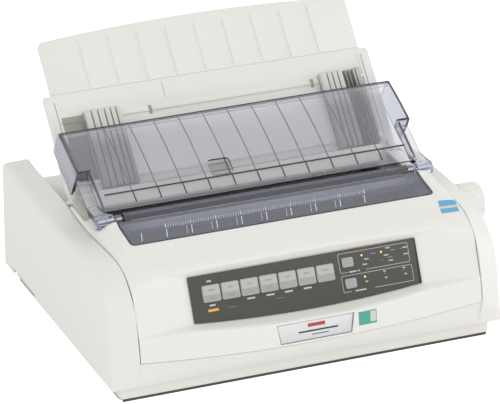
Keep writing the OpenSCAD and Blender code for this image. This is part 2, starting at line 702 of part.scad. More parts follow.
module pulley(bottom, bore) translate([0, 0, bottom]) difference() {
    union() {
        difference() {
            cylinder(h = belt_h + 3, d = pulley_d);
            for (a = [0:24:359]) rotate([0, 0, a]) translate([pulley_d / 2, 0, 1.5])
                cylinder(h = belt_h, d = 0.9, $fn = 16);
        }
        cylinder(h = 1.2, d = pulley_d + 3);
        translate([0, 0, belt_h + 1.8]) cylinder(h = 1.2, d = pulley_d + 3);
    }
    if (bore > 0) translate([0, 0, -1]) cylinder(h = belt_h + 9, d = bore);
}

module drive_pulley() color(steel) seat() translate([pulley_x, belt_y, 0]) {
    pulley(belt_z - 1.5, 0);
    translate([0, 0, base_top + 4.3]) cylinder(h = belt_z + 4 - base_top - 4.3, d = motor_shaft);
}

module idler_pulley() color(steel) seat() translate([-pulley_x, belt_y, 0]) pulley(belt_z - 1.5, motor_shaft + play);

// Bracket and post of the idler pulley
module belt_post() translate([-pulley_x, belt_y, base_top - eps]) {
    block([-10, -10, 0], [10, 10, belt_z - 1.8 - base_top]);
    cylinder(h = belt_z + belt_h + 3 - base_top, d = motor_shaft);
}

home_x = -print_w / 2 - 0.8;
carriage_half = 29;
module carriage() color("#3a3c40") seat() translate([home_x, 0, 0]) {
    difference() {
        union() {
            along_x(-carriage_half, carriage_half) polygon([[rod_y - 14, rod_z - 13.5], [rod_y + 12, rod_z - 13.5],
                [rod_y + 12, rod_z + 9], [rod_y + 4, rod_z + 13], [rod_y - 22, rod_z + 13], [rod_y - 26, rod_z + 9],
                [rod_y - 26, rod_z - 5], [rod_y - 14, rod_z - 5]]);
            // foot on the guide rail
            block([-9, rail_y0 + 4, rail_z + 0.3], [9, rail_y1 - 4, rail_z + 4]);
            block([-9, rail_y1 - 9, rail_z + 0.3], [9, rail_y1 - 4, rod_z + 4]);
            // clamp over the rear run of the belt
            block([-8, belt_y + loop_r - 3.5, belt_z - 0.5], [8, belt_y + loop_r + belt_t + 4, rod_z - 13]);
        }
        rod_x(-far, far, rod_y, rod_z, rod_d + play);
        block([-9, belt_y + loop_r - belt_gap, belt_z - 2],
              [9, belt_y + loop_r + belt_t + belt_gap, belt_z + belt_h + belt_gap]);
        block([-9, -far, belt_z - 2], [9, belt_y + loop_r - 1.5, rail_z - rail_t - 0.3]);
    }
}

head_nose = platen_y - platen_d / 2 - head_gap;
head_z = platen_z;
module print_head() color("#26282b") seat() translate([home_x, 0, 0]) {
    block([-15, head_nose - 36, rod_z + 13], [15, head_nose - 14, head_z + 10]);
    block([-5, head_nose - 15, head_z - 8], [5, head_nose - 3, head_z + 6]);
    block([-2, head_nose - 3.1, head_z - 4], [2, head_nose, head_z + 4]);
    for (k = [0:6]) block([-17, head_nose - 35 + 3.2 * k, head_z - 6], [17, head_nose - 33.6 + 3.2 * k, head_z + 12]);
}

ribbon_z = rod_z + 13;
module ribbon_cartridge() color("#1d1e20") seat() translate([home_x, 0, 0]) difference() {
    union() {
        block([-carriage_half, rod_y - 26, ribbon_z], [carriage_half, head_nose - 16, ribbon_z + 8]);
        both_sides() along_x(18, carriage_half) polygon([[head_nose - 17, ribbon_z], [head_nose - 17, ribbon_z + 8],
            [head_nose - 1.5, ribbon_z + 15], [head_nose - 0.5, ribbon_z + 15], [head_nose - 0.5, ribbon_z + 4],
            [head_nose - 6, ribbon_z]]);
    }
    block([-17.4, head_nose - 36.4, 0], [17.4, far, far]);
    translate([-carriage_half + 7, rod_y - 19, ribbon_z - 1]) cylinder(h = 20, d = 3 + play);
}

module ribbon_knob() color("#2f5f9e") seat()
    translate([home_x - carriage_half + 7, rod_y - 19, ribbon_z + 1]) {
        cylinder(h = 7, d = 3);
        difference() {
            translate([0, 0, 7.3]) cylinder(h = 4, d = 10);
            for (a = [0:30:359]) rotate([0, 0, a]) translate([5.2, 0, 7]) cylinder(h = 6, d = 1.2, $fn = 16);
        }
        translate([0, 0, 6.9]) cylinder(h = 1, d = 3);
    }

// ---------------------------------------------------------------- platen and feed train
module platen_roller() color("#26272a") seat() difference() {
    rod_x(-platen_len / 2, platen_len / 2, platen_y, platen_z, platen_d);
    rod_x(-far, far, platen_y, platen_z, platen_shaft_d);
}

belt_x0 = gear_x0 - 7;
shaft_left = belt_x0 - 1.5;
module platen_shaft() color(steel) seat()
    rod_x(shaft_left, knob_tip - 4, platen_y, platen_z, platen_shaft_d);

knob_root = half_w + 3.8;
module platen_knob() color("#e4e4df") seat() difference() {
    union() {
        rod_x(knob_root, knob_tip - 2.5, platen_y, platen_z, knob_d);
        rod_x(knob_tip - 2.5 - eps, knob_tip, platen_y, platen_z, knob_d - 4);
    }
    rod_x(half_w, knob_tip - 4, platen_y, platen_z, platen_shaft_d);
    for (a = [0:20:359]) translate([0, platen_y, platen_z]) rotate([a, 0, 0])
        rod_x(knob_root + 4, knob_tip + 1, 0, knob_d / 2 + 0.9, 3.2);
}

// Spur gear in the YZ plane, as an outline; phase turns its first tooth
module gear_outline(teeth, phase) {
    r = gear_m * teeth / 2;
    step = 360 / teeth;
    polygon([for (i = [0:teeth - 1]) let (a = i * step + phase)
        each [[(r - 1.15 * gear_m) * cos(a - 0.36 * step), (r - 1.15 * gear_m) * sin(a - 0.36 * step)],
              [r * cos(a - 0.21 * step), r * sin(a - 0.21 * step)],
              [(r + 0.85 * gear_m) * cos(a - 0.1 * step), (r + 0.85 * gear_m) * sin(a - 0.1 * step)],
              [(r + 0.85 * gear_m) * cos(a + 0.1 * step), (r + 0.85 * gear_m) * sin(a + 0.1 * step)],
              [r * cos(a + 0.21 * step), r * sin(a + 0.21 * step)],
              [(r - 1.15 * gear_m) * cos(a + 0.36 * step), (r - 1.15 * gear_m) * sin(a + 0.36 * step)]]]);
}
module gear(at, teeth, phase, bore) along_x(gear_x0, gear_x0 + gear_w) translate(at) difference() {
    gear_outline(teeth, phase);
    circle(d = bore);
}

belt_wheel_d = 16;
module belt_wheel(at, bore) difference() {
    union() {
        rod_x(belt_x0, gear_x0 - 1, at[0], at[1], belt_wheel_d);
        rod_x(belt_x0 - 0.8, belt_x0 + 0.2, at[0], at[1], belt_wheel_d + 3);
        rod_x(gear_x0 - 1.2, gear_x0, at[0], at[1], belt_wheel_d + 3);
    }
    if (bore > 0) rod_x(-far, far, at[0], at[1], bore);
}

module platen_gear() color("#e0ddd2") seat() {
    gear([platen_y, platen_z], platen_teeth, train_dir, platen_shaft_d);
    belt_wheel([platen_y, platen_z], platen_shaft_d);
}
// The idler meets the platen gear with a gap and the pinion with a tooth
idler_phase = train_dir + 180 + 180 / idler_teeth;
module idler_gear() color("#e0ddd2") seat() gear(idler_at, idler_teeth, idler_phase, 4 + play);
module feed_pinion() color(steel) seat() {
    along_x(gear_x0, gear_x0 + gear_w) translate(pinion_at) gear_outline(pinion_teeth, train_dir + 180);
    rod_x(gear_x0, -frame_x + 10, pinion_at[0], pinion_at[1], 4);
}

module line_feed_motor() color("#8d9094") seat() difference() {
    union() {
        rod_x(-frame_x, -frame_x + 24, pinion_at[0], pinion_at[1], feed_motor_d);
        along_x(-frame_x, -frame_x + 1.5) translate(pinion_at - [feed_motor_d, feed_motor_d] / 2)
            rounded(feed_motor_d, feed_motor_d, 4);
    }
    rod_x(-frame_x - 1, -frame_x + 11, pinion_at[0], pinion_at[1], 4 + play);
}

// Toothed belt from the platen to the tractor shaft, over wheels of one size
module feed_belt() color("#2a2a2a") seat() along_x(belt_x0 + 0.6, gear_x0 - 1.5)
    belt_loop([platen_y, platen_z], [stem_y, stem_z], belt_wheel_d / 2 + belt_gap + 0.1);

roller_xs = [-105, -35, 35, 105];
roller_len = 24;
module pressure_rollers() color("#3a3b3e") seat() {
    rod_x(-frame_x - frame_t, frame_x + frame_t, platen_y, roller_z, roller_pin);
    for (x = roller_xs) rod_x(x - roller_len / 2, x + roller_len / 2, platen_y, roller_z, roller_d);
}

chute_r = platen_d / 2 + 2;
chute_t = 1.5;
chute_half = 136;
chute_out = -42;
chute_end = [rear_y - 104, case_h - 22];
function ring_point(r, a) = [platen_y + r * cos(a), platen_z + r * sin(a)];
module paper_chute() color("#3a3b3e") seat() {
    difference() {
        along_x(-chute_half, chute_half) {
            polygon(concat([for (a = [-150:9:chute_out]) ring_point(chute_r, a)], [chute_end],
                [chute_end + [0, -chute_t]], [for (a = [chute_out:-9:-150]) ring_point(chute_r + chute_t, a)]));
        }
        for (x = roller_xs) block([x - roller_len / 2 - 2, platen_y - 8, 0], [x + roller_len / 2 + 2, platen_y + 8, platen_z - 10]);
    }
    // end cheeks by which the chute hangs between the frames
    both_sides() along_x(chute_half - eps, frame_x) polygon([ring_point(chute_r + 0.2, -75), ring_point(chute_r + 5, -75),
        ring_point(chute_r + 5, -48), ring_point(chute_r + 0.2, -48)]);
}

// ---------------------------------------------------------------- electronics
board_z = 12;
module control_board() color("#2f6b46") seat() {
    difference() {
        block([-62, 30, board_z], [138, plinth_rear - wall - 2, board_z + 1.6]);
        for (x = [-56, 132], y = [36, 134]) translate([x, y, 0]) cylinder(h = 30, d = 3);
    }
    for (x = [-56, 132], y = [36, 134]) translate([x, y, base_top]) difference() {
        cylinder(h = board_z - base_top, d = 7);
        cylinder(h = 30, d = 3);
    }
    for (c = [[-30, 60, 34, 34, 4], [24, 60, 28, 14, 4], [24, 84, 28, 14, 4], [70, 54, 16, 8, 18],
              [96, 54, 16, 8, 18], [-34, 110, 14, 14, 12], [88, 96, 30, 20, 6]])
        block([c[0], c[1], board_z + 1.6 - eps], [c[0] + c[2], c[1] + c[3], board_z + 1.6 + c[4]]);
}

supply_x = [-140, -74];
supply_y = [34, 122];
supply_plate = 1.2;
supply_vents = 7;
module power_supply() color("#9da0a3") seat() {
    block([supply_x[0], supply_y[0], base_top], [supply_x[1], supply_y[1], base_top + supply_plate]);
    difference() {
        block([supply_x[0], supply_y[0], base_top], [supply_x[1], supply_y[0] + 2, 44]);
        for (k = [0:supply_vents - 1]) translate([supply_x[0] + 4 + 9 * k, 0, 0])
            block([0, supply_y[0] - 4, 16], [5, supply_y[0] + 6, 36]);
    }
    // transformer can and three capacitors
    block([supply_x[0] + 6, supply_y[0] + 12, base_top + supply_plate - eps],
        [supply_x[1] - 10, supply_y[1] - 30, 42]);
    for (x = [12, 28, 44]) translate([supply_x[0] + x, supply_y[1] - 16, base_top]) cylinder(h = 26, d = 13);
}

module power_inlet() color("#1c1c1e") seat() {
    inlet_shell();
    for (x = [-7, 0, 7]) block([inlet_x + x - 1, rear_y - 14 - eps, inlet_z - 2], [inlet_x + x + 1, rear_y - 3, inlet_z + 2]);
}
module inlet_shell() difference() {
    union() {
        block([inlet_x - 13.8, rear_y - 18, inlet_z - 10.3], [inlet_x + 13.8, rear_y, inlet_z + 10.3]);
        block([inlet_x - 16.5, rear_y, inlet_z - 12.5], [inlet_x + 16.5, rear_y + 2, inlet_z + 12.5]);
    }
    block([inlet_x - 11, rear_y - 14, inlet_z - 7.5], [inlet_x + 11, far, inlet_z + 7.5]);
}

// Centre, width and height of each connector in the rear wall
port_list = [[10, 68, 16], [68, 14, 13], [104, 40, 13]];
module interface_ports() color("#77797c") seat() for (p = port_list) difference() {
    union() {
        // body on the board
        block([p[0] - p[1] / 2 + 0.3, rear_y - 18, board_z + 1.6],
              [p[0] + p[1] / 2 - 0.3, plinth_rear - wall - 1, ports_z + p[2] / 2 - 0.3]);
        // mouth through the wall
        block([p[0] - p[1] / 2 + 0.3, rear_y - 18, ports_z - p[2] / 2 + 0.3],
              [p[0] + p[1] / 2 - 0.3, rear_y + 1.5, ports_z + p[2] / 2 - 0.3]);
    }
    block([p[0] - p[1] / 2 + 2.5, rear_y - 6, ports_z - p[2] / 2 + 2.5],
          [p[0] + p[1] / 2 - 2.5, far, ports_z + p[2] / 2 - 2.5]);
}

module case_screws() color(steel) seat()
    for (c = screw_at) translate([c[0], c[1], foot_h - 1.6]) difference() {
        cylinder(h = 1.6, d = screw_head);
        translate([0, 0, -1]) cylinder(h = 1.9, d = 3, $fn = 6);
    }

// ---------------------------------------------------------------- tractors
tractor_y0 = stem_y - tractor_len / 2;
tractor_z0 = stem_z - 13;
tractor_top = tractor_z0 + tractor_h;
module tractor_shaft() color(steel) seat() {
    block([-frame_x + 2, stem_y - square_d / 2, stem_z - square_d / 2], [frame_x - 2, stem_y + square_d / 2, stem_z + square_d / 2]);
    both_sides() rod_x(frame_x - 2 - eps, frame_x + frame_t + 1, stem_y, stem_z, square_d * sqrt(2) + 0.5);
    rod_x(shaft_left, -frame_x, stem_y, stem_z, platen_shaft_d);
    belt_wheel([stem_y, stem_z], 0);
}

tractor_at = 122;
door_t = 2;
door_gap = 0.3;
door_pin = 2;
door_z = tractor_top + door_gap + door_t / 2;
module tractor() translate([tractor_at, 0, 0]) {
    difference() {
        block([-tractor_w / 2, tractor_y0, tractor_z0], [tractor_w / 2, tractor_y0 + tractor_len, tractor_top]);
        rod_x(-far, far, stem_y, stem_z, square_d * sqrt(2) + 1.2);
        rod_x(-far, far, support_y, support_z, support_rod_d + play);
        block([-4, tractor_y0 - 1, tractor_top - 3], [4, tractor_y0 + tractor_len + 1, far]);
    }
    // feed pins on their belt
    block([-3.5, tractor_y0 + 1, tractor_top - 3 - eps], [3.5, tractor_y0 + tractor_len - 1, tractor_top - 1.2]);
    for (k = [-1:1]) translate([0, stem_y + 12.7 * k, tractor_top - 1.3]) cylinder(h = 1.3, d = 3.6, $fn = 24);
    // eyes of the door hinge
    for (y = [tractor_y0 + 2, tractor_y0 + tractor_len - 6]) difference() {
        union() {
            translate([tractor_w / 2 + 1.8, y + 4, door_z]) rotate([90, 0, 0]) cylinder(h = 4, d = 4.4);
            block([tractor_w / 2 - 1, y, tractor_z0 + 14], [tractor_w / 2 + 4, y + 4, door_z]);
        }
        translate([tractor_w / 2 + 1.8, y + 5, door_z]) rotate([90, 0, 0]) cylinder(h = 6, d = door_pin + play);
        block([tractor_w / 2 - 3, y - 1, tractor_top], [tractor_w / 2 - 0.6, y + 5, far]);
    }
}
module tractor_door() translate([tractor_at, 0, 0]) {
    x = tractor_w / 2 + 1.8;
    translate([x, tractor_y0 + tractor_len - 1.8, door_z]) rotate([90, 0, 0])
        cylinder(h = tractor_len - 3.6, d = door_pin);
    difference() {
        block([-tractor_w / 2 + 2, tractor_y0 + 7, door_z - door_t / 2], [x, tractor_y0 + tractor_len - 7, door_z + door_t / 2]);
        block([-1.8, tractor_y0 + 9, 0], [1.8, tractor_y0 + tractor_len - 9, far]);
    }
}
module right_tractor() color("#3a3b3e") seat() tractor();
module left_tractor() color("#3a3b3e") seat() mirror([1, 0, 0]) tractor();
module right_tractor_door() color("#55575b") seat() tractor_door();
module left_tractor_door() color("#55575b") seat() mirror([1, 0, 0]) tractor_door();

// ---------------------------------------------------------------- sheet guide
// Guide frame of reference: x across, y up the slope from the pivot, z out of the plate
plate_n = 2.6;
module on_guide() translate([0, pivot_y, pivot_z]) rotate([guide_tilt, 0, 0]) children();
side_rail = 12;
rim_inset = 11.5;
hook_xs = [-guide_w / 2 + 100.5, guide_w / 2 - 68.5];
boss_d = 10;
module sheet_guide() color(cream) seat() {
    on_guide() difference() {
        union() {
            // back plate with rounded upper corners
            translate([0, 0, plate_n - guide_t]) linear_extrude(guide_t)
                translate([-guide_w / 2 + 1, 7]) rounded(guide_w - 2, guide_len - 7, 8);
            // cross ribs behind the plate
            for (s = [12, guide_len - 20]) block([-guide_w / 2 + 8, s, -2.4], [guide_w / 2 - 8, s + 2, plate_n - 1]);
            // low rims that carry the paper guides
            for (s = [14, 78]) block([-guide_w / 2 + rim_inset, s, plate_n - eps],
                [guide_w / 2 - rim_inset, s + 3, plate_n + 1]);
        }
        for (x = hook_xs) block([x, 75, -9], [x + 3.5, 84, 30]);
    }
    both_sides() difference() {
        union() {
            // side rail: a flange behind the plate that curves down to the pivot
            on_guide() translate([guide_w / 2 - side_rail, 0, 0]) rotate([90, 0, 90]) linear_extrude(side_rail)
                polygon([[-2, plate_n + 0.8], [guide_len - 6, plate_n + 0.8], [guide_len, plate_n - 3], [guide_len - 2, -3.5],
                         [60, -4.5], [34, -9], [18, -10], [8, -6], [-3, -3]]);
            rod_x(guide_w / 2 - 5, guide_w / 2, pivot_y, pivot_z, boss_d);
        }
        rod_x(lug_in - 2, far, pivot_y, pivot_z, guide_pin_d + pin_play);
        // room for the lug
        block([lug_in - 2, pivot_y - 20, pivot_z - 20], [lug_in + lug_w + 0.6, pivot_y + 9, pivot_z + 9]);
        on_guide() block([guide_w / 2 - side_rail - 2, -12, -20], [lug_in + lug_w + 0.6, 30, -1]);
    }
}

module support_outline() {
    half = support_w / 2;
    corner = 6;
    polygon(concat([[-half, guide_len + 0.3], [half, guide_len + 0.3]],
        [for (a = [0:15:90]) [half - corner + corner * cos(a), support_len - support_crown - corner + corner * sin(a)]],
        [for (k = [7:-1:-7]) [(half - corner) * k / 8, support_len - support_crown * pow(k / 8, 2)]],
        [for (a = [90:15:180]) [-half + corner + corner * cos(a), support_len - support_crown - corner + corner * sin(a)]]));
}
module paper_support() color(cream) seat() on_guide() {
    back = plate_n - 2 * guide_t + 0.4;
    tongue = guide_w / 2 - side_rail - 1.5;
    translate([0, 0, back]) linear_extrude(plate_n - back) support_outline();
    // tongue behind the frame's plate
    block([-tongue, guide_len - 14, back], [tongue, guide_len + 1, plate_n - guide_t]);
    for (k = [0:guide_ribs - 1])
        translate([(k - (guide_ribs - 1) / 2) * guide_rib_pitch - 0.8, guide_len + 2, plate_n - eps])
            cube([1.6, support_len - support_crown - guide_len - 6, 1]);
}

guide_rib = 1.6;
module paper_guide(x0, x1) on_guide() {
    n = round((x1 - x0 - guide_rib) / 6);
    z0 = plate_n + 1.3;
    block([x0, 6, z0], [x1, 86, z0 + 1.6]);
    for (k = [0:n]) translate([x0 + k * (x1 - x0 - guide_rib) / n, 6, z0]) cube([guide_rib, 80, 8]);
}
left_guide_x = [-guide_w / 2 + 33.5, -guide_w / 2 + 69.5];
right_guide_x = [guide_w / 2 - 59.5, guide_w / 2 - 17.5];
module left_paper_guide() color("#9c9ca2") seat() paper_guide(left_guide_x[0], left_guide_x[1]);
module right_paper_guide() color("#9c9ca2") seat() paper_guide(right_guide_x[0], right_guide_x[1]);

// ---------------------------------------------------------------- acoustic cover
// Bent panel: an arc from just behind the hinge to the top edge
panel_foot = [hinge_y + 7.5, hinge_z + 6.2];
panel_head = [60.3, hinge_z + 50.9];
chord = panel_head - panel_foot;
chord_len = norm(chord);
chord_dir = atan2(chord[1], chord[0]);
bend_centre = (panel_foot + panel_head) / 2
    + sqrt(bend_r * bend_r - chord_len * chord_len / 4) * [sin(chord_dir), -cos(chord_dir)];
half_bend = asin(chord_len / 2 / bend_r);
// Point at a share s along the panel, drawn in by t
function bend(s, t) = let (a = chord_dir + 90 + half_bend * (1 - 2 * s))
    bend_centre + (bend_r - t) * [cos(a), sin(a)];
bend_steps = [0, 0.125, 0.25, 0.375, 0.5, 0.625, 0.75, 0.875, 1];
function strip(s0, s1, t0, t1) = concat([for (k = bend_steps) bend(s0 + (s1 - s0) * k, t0)],
    [for (i = [len(bend_steps) - 1:-1:0]) bend(s0 + (s1 - s0) * bend_steps[i], t1)]);

panel_in = 160.7;
wing_x = cover_half - 1;
notch = 0.47;      // share along the panel where the side notches lie
arm_drop = 10;
shelf_at = 0.19;
hole_x = -44;      // finger opening: left edge, width and stretch of the panel
hole_w = 22;
hole_s0 = 0.21;
hole_s1 = 0.38;
tail_reach = [[117.4, 25.5], [68.4, 0.7]];   // the wing's lower rear corners, from the hinge
wing_tail = [for (t = tail_reach) [hinge_y + t[0], hinge_z + t[1]]];
module acoustic_cover() color(tint) seat() {
    difference() {
        union() {
            along_x(-panel_in, panel_in) polygon(strip(0, 1, 0, tint_t));
            along_x(-wing_x, wing_x) polygon(strip(notch, 1, 0, tint_t));
            for (k = [0:cover_ribs - 1]) translate([(k - (cover_ribs - 1) / 2) * cover_rib_pitch, 0, 0])
                along_x(-0.6, 0.6) polygon(strip(0.04, 0.985, tint_t - eps, tint_t + 2.2));
        }
        // finger opening
        along_x(hole_x, hole_x + hole_w) polygon([for (v = [[hole_s0, -9], [hole_s0, 9], [hole_s1, 9], [hole_s1, -9]])
            bend(v[0], v[1])]);
    }
    // shelf across the lower end of the ribs
    along_x(-154.8, 154.8) polygon(strip(shelf_at, shelf_at + 0.012, tint_t - eps, tint_t + 5));
    both_sides() {
        // wing
        along_x(wing_x - tint_t, wing_x) polygon(concat([for (k = bend_steps) bend(notch + (1 - notch) * k, 0)],
            wing_tail));
        // arm and its step up to the panel
        along_x(panel_in - eps, wing_x) polygon(strip(0.08, notch + 0.02, arm_drop, arm_drop + tint_t));
        along_x(panel_in - tint_t, panel_in) polygon(strip(0.04, notch + 0.02, 0.5, arm_drop + tint_t));
        along_x(panel_in - tint_t, wing_x) polygon(strip(notch, notch + 0.02, 0, arm_drop + tint_t));
        difference() {
            union() {
                rod_x(barrel_in, cover_half - 1, hinge_y, hinge_z, barrel_d);
                along_x(panel_in - tint_t, cover_half - 1) polygon([[hinge_y, hinge_z + 5.5], bend(0.14, arm_drop),
                    bend(0.14, arm_drop + tint_t), [hinge_y + 3, hinge_z - 3]]);
            }
            rod_x(barrel_in - 1, far, hinge_y, hinge_z, pin_d + pin_play);
        }
    }
}

// ---------------------------------------------------------------- access window
win_half = window_w / 2 - window_gap;
win_front = [front_y + window_front, case_h + 4.8];
win_mid = [hinge_y - 15.6, hinge_z - 1.1];
win_rear = [hinge_y - 7.2, hinge_z + 0.9];
knuckle_d = 9;
module access_window() color(tint) seat() {
    along_x(-win_half, win_half) polygon([win_front, win_mid, win_rear, win_rear - [0, tint_t], win_mid - [0, tint_t],
        win_front + [1, -tint_t]]);
    // lip over the hinge line
    along_x(-ear_in + 1, ear_in - 1) polygon([win_rear, [hinge_y - 4.2, hinge_z + 4.6], [hinge_y - 0.5, hinge_z + 6.3],
        [hinge_y - 0.5, hinge_z + 4.5], [hinge_y - 3.2, hinge_z + 3.2], win_rear - [0, tint_t]]);
    // side walls that lean inwards
    both_sides() skin([for (s = [1, 0]) let (x = win_half - s * 2)
        [[x, win_front[0] + 1, win_front[1] - 1], [x, win_mid[0], win_mid[1] - 1],
         [x - 9, win_mid[0], win_mid[1] - 12], [x - 9, win_front[0] + 8, win_front[1] - 9]]]);
    // knuckles
    both_sides() difference() {
        along_x(139, 146) {
            translate([hinge_y, hinge_z]) circle(d = knuckle_d);
            polygon([[hinge_y, hinge_z + 3], win_rear, win_rear - [0, tint_t], [hinge_y, hinge_z - 3]]);
        }
        rod_x(100, far, hinge_y, hinge_z, pin_d + pin_play);
    }
}

// ---------------------------------------------------------------- paper lever
lever_at = [2, case_h - 10];
module paper_lever() color("#d8d5c6") seat() along_x(lever_x - lever_w / 2, lever_x + lever_w / 2) difference() {
    union() {
        translate(lever_at) circle(d = 9);
        polygon([lever_at + [-2, 4], lever_at + [27, 15], lever_at + [28, 11.5], lever_at + [2, -3.8]]);
    }
    translate(lever_at) circle(d = 4 + play);
}

module power_switch() color("#1c1c1e") seat() difference() {
    union() {
        along_x(half_w - 5, half_w + 0.6) translate([switch_y - switch_w / 2 + 0.4, switch_z - switch_h / 2 + 1.4])
            square([switch_w - 0.8, switch_h - 2.8]);
        along_x(half_w - 9, half_w) translate([switch_y - switch_w / 2 + 1, switch_z - 4]) square([switch_w - 2, 8]);
        switch_axle(switch_pin_d);
    }
    translate([half_w + 14, switch_y - 20, switch_z]) rotate([-90, 0, 0]) cylinder(h = 40, r = 14, $fn = 64);
}

rubber_feet();
base_plate();
lower_case();
upper_cover();
rear_cover();
control_panel();
panel_lamps();
panel_board();
nameplate();
hinge_pins();
left_side_frame();
right_side_frame();
frame_stays();
carriage_shaft();
guide_rail();
drive_belt();
carriage_motor();
line_feed_motor();
feed_belt();
paper_chute();
pressure_rollers();
control_board();
power_supply();
power_inlet();
interface_ports();
case_screws();
platen_roller();
platen_shaft();
platen_knob();
platen_gear();
idler_gear();
feed_pinion();
carriage();
print_head();
ribbon_cartridge();
ribbon_knob();
drive_pulley();
idler_pulley();
tractor_shaft();
left_tractor();
right_tractor();
left_tractor_door();
right_tractor_door();
sheet_guide();
paper_support();
left_paper_guide();
right_paper_guide();
acoustic_cover();
access_window();
paper_lever();
panel_key(1);  // panel_key_1
panel_key(2);  // panel_key_2
panel_key(3);  // panel_key_3
panel_key(4);  // panel_key_4
panel_key(5);  // panel_key_5
panel_key(6);  // panel_key_6
panel_key(7);  // panel_key_7
small_key(0);  // small_key_1
small_key(1);  // small_key_2
power_switch();
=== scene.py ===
# Desktop dot matrix printer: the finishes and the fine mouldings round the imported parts
import bmesh
import bpy
import json
import math
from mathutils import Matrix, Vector


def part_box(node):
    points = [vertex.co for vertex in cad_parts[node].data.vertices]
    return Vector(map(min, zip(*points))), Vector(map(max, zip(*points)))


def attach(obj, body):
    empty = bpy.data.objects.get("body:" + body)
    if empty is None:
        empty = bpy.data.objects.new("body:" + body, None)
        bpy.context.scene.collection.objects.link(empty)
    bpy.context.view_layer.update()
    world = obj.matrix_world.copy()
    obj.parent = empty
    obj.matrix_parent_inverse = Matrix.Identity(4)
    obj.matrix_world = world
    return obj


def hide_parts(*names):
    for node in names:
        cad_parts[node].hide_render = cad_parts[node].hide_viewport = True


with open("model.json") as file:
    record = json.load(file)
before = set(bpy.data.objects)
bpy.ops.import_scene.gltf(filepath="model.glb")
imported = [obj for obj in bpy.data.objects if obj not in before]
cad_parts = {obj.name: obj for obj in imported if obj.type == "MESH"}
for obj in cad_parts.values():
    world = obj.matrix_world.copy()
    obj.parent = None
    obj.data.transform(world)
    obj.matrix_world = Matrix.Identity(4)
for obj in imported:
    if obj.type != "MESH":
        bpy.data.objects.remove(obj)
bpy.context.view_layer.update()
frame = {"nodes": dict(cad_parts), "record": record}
nodes = frame["nodes"]
bodyOf = {n: body for body, members in frame["record"]["behaviour"]["bodies"].items() for n in members}
slotOf = {part["node"]: part["material_slot"] for part in frame["record"]["subparts"]}
scene = bpy.context.scene

# The case frame: x = 0 half way between the cheeks, y = 0 half way along them, in millimetres
platenY = -38.7
platenLow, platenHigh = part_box("platen_roller")
caseX = (platenLow.x + platenHigh.x) / 2
caseY = (platenLow.y + platenHigh.y) / 2 - platenY / 1000


def place(x, y, z):
    return Vector((caseX + x / 1000, caseY + y / 1000, z / 1000))


# the camera stands in case millimetres, its angles are in degrees
view = {"at": (-1330.678, -3235.616, 1710.405), "turn": 22.359, "down": 24.563, "lens": 288}
turn, down = math.radians(view["turn"]), math.radians(view["down"])
camera = bpy.data.objects.new("camera", bpy.data.cameras.new("camera"))
scene.collection.objects.link(camera)
camera.data.lens = view["lens"]
camera.data.sensor_width = 36
camera.data.clip_end = 50
camera.location = place(*view["at"])
lookAlong = Vector((math.sin(turn) * math.cos(down), math.cos(turn) * math.cos(down), -math.sin(down)))
camera.rotation_euler = lookAlong.to_track_quat("-Z", "Y").to_euler()
scene.camera = camera
scene.view_settings.view_transform = "Standard"

lamps = {
    "keySoftbox": {"from": (1.7, -1.9, 2.3), "size": 1.6, "watts": 8},
    "fillSoftbox": {"from": (-2.4, -1.4, 1.5), "size": 2.0, "watts": 10},
    "topSoftbox": {"from": (0.1, 0.5, 2.6), "size": 2.2, "watts": 1},
    "lowReflector": {"from": (-0.2, -2.3, 0.3), "size": 1.6, "watts": 2.5},
    "sideReflector": {"from": (2.4, -0.8, 0.6), "size": 1.4, "watts": 11},
}
for name, lamp in lamps.items():
    light = bpy.data.lights.new(name, "AREA")
    light.size = lamp["size"]
    light.energy = lamp["watts"]
    lampObject = bpy.data.objects.new(name, light)
    scene.collection.objects.link(lampObject)
    lampObject.location = lamp["from"]
    towards = Vector((0, 0, 0.1)) - lampObject.location
    lampObject.rotation_euler = towards.to_track_quat("-Z", "Y").to_euler()


def addNode(tree, kind, settings=None, links=None):
    # one node, its settings (inputs by name or number, or its own properties) and what feeds it
    node = tree.nodes.new(kind)
    for name, value in (settings or {}).items():
        if isinstance(name, int) or name in node.inputs:
            node.inputs[name].default_value = value
        else:
            setattr(node, name, value)
    for name, source in (links or {}).items():
        tree.links.new(source, node.inputs[name])
    return node


def linear(code):
    # sRGB hex to the linear colour that shaders use
    parts = [int(code[i:i + 2], 16) / 255 for i in (1, 3, 5)]
    return [p / 12.92 if p <= 0.04045 else ((p + 0.055) / 1.055) ** 2.4 for p in parts] + [1.0]


# the room: white wherever it is seen, dimmer as a light
studio = {"ambient": 0.77, "floorGlow": 0.8, "floorLight": 0.12, "floorColour": 0.9, "floorHalf": 9}
white = (1, 1, 1, 1)
world = bpy.data.worlds.new("studio")
scene.world = world
world.use_nodes = True
tree = world.node_tree
tree.nodes.clear()
rays = addNode(tree, "ShaderNodeLightPath").outputs
seen = rays["Is Camera Ray"]
for ray in ("Is Glossy Ray", "Is Transmission Ray"):
    seen = addNode(tree, "ShaderNodeMath", {"operation": "MAXIMUM"}, {0: seen, 1: rays[ray]}).outputs[0]
strength = addNode(tree, "ShaderNodeMapRange", {"To Min": studio["ambient"], "To Max": 1.0}, {"Value": seen})
sky = addNode(tree, "ShaderNodeBackground", {"Color": white}, {"Strength": strength.outputs[0]})
addNode(tree, "ShaderNodeOutputWorld", {}, {"Surface": sky.outputs[0]})

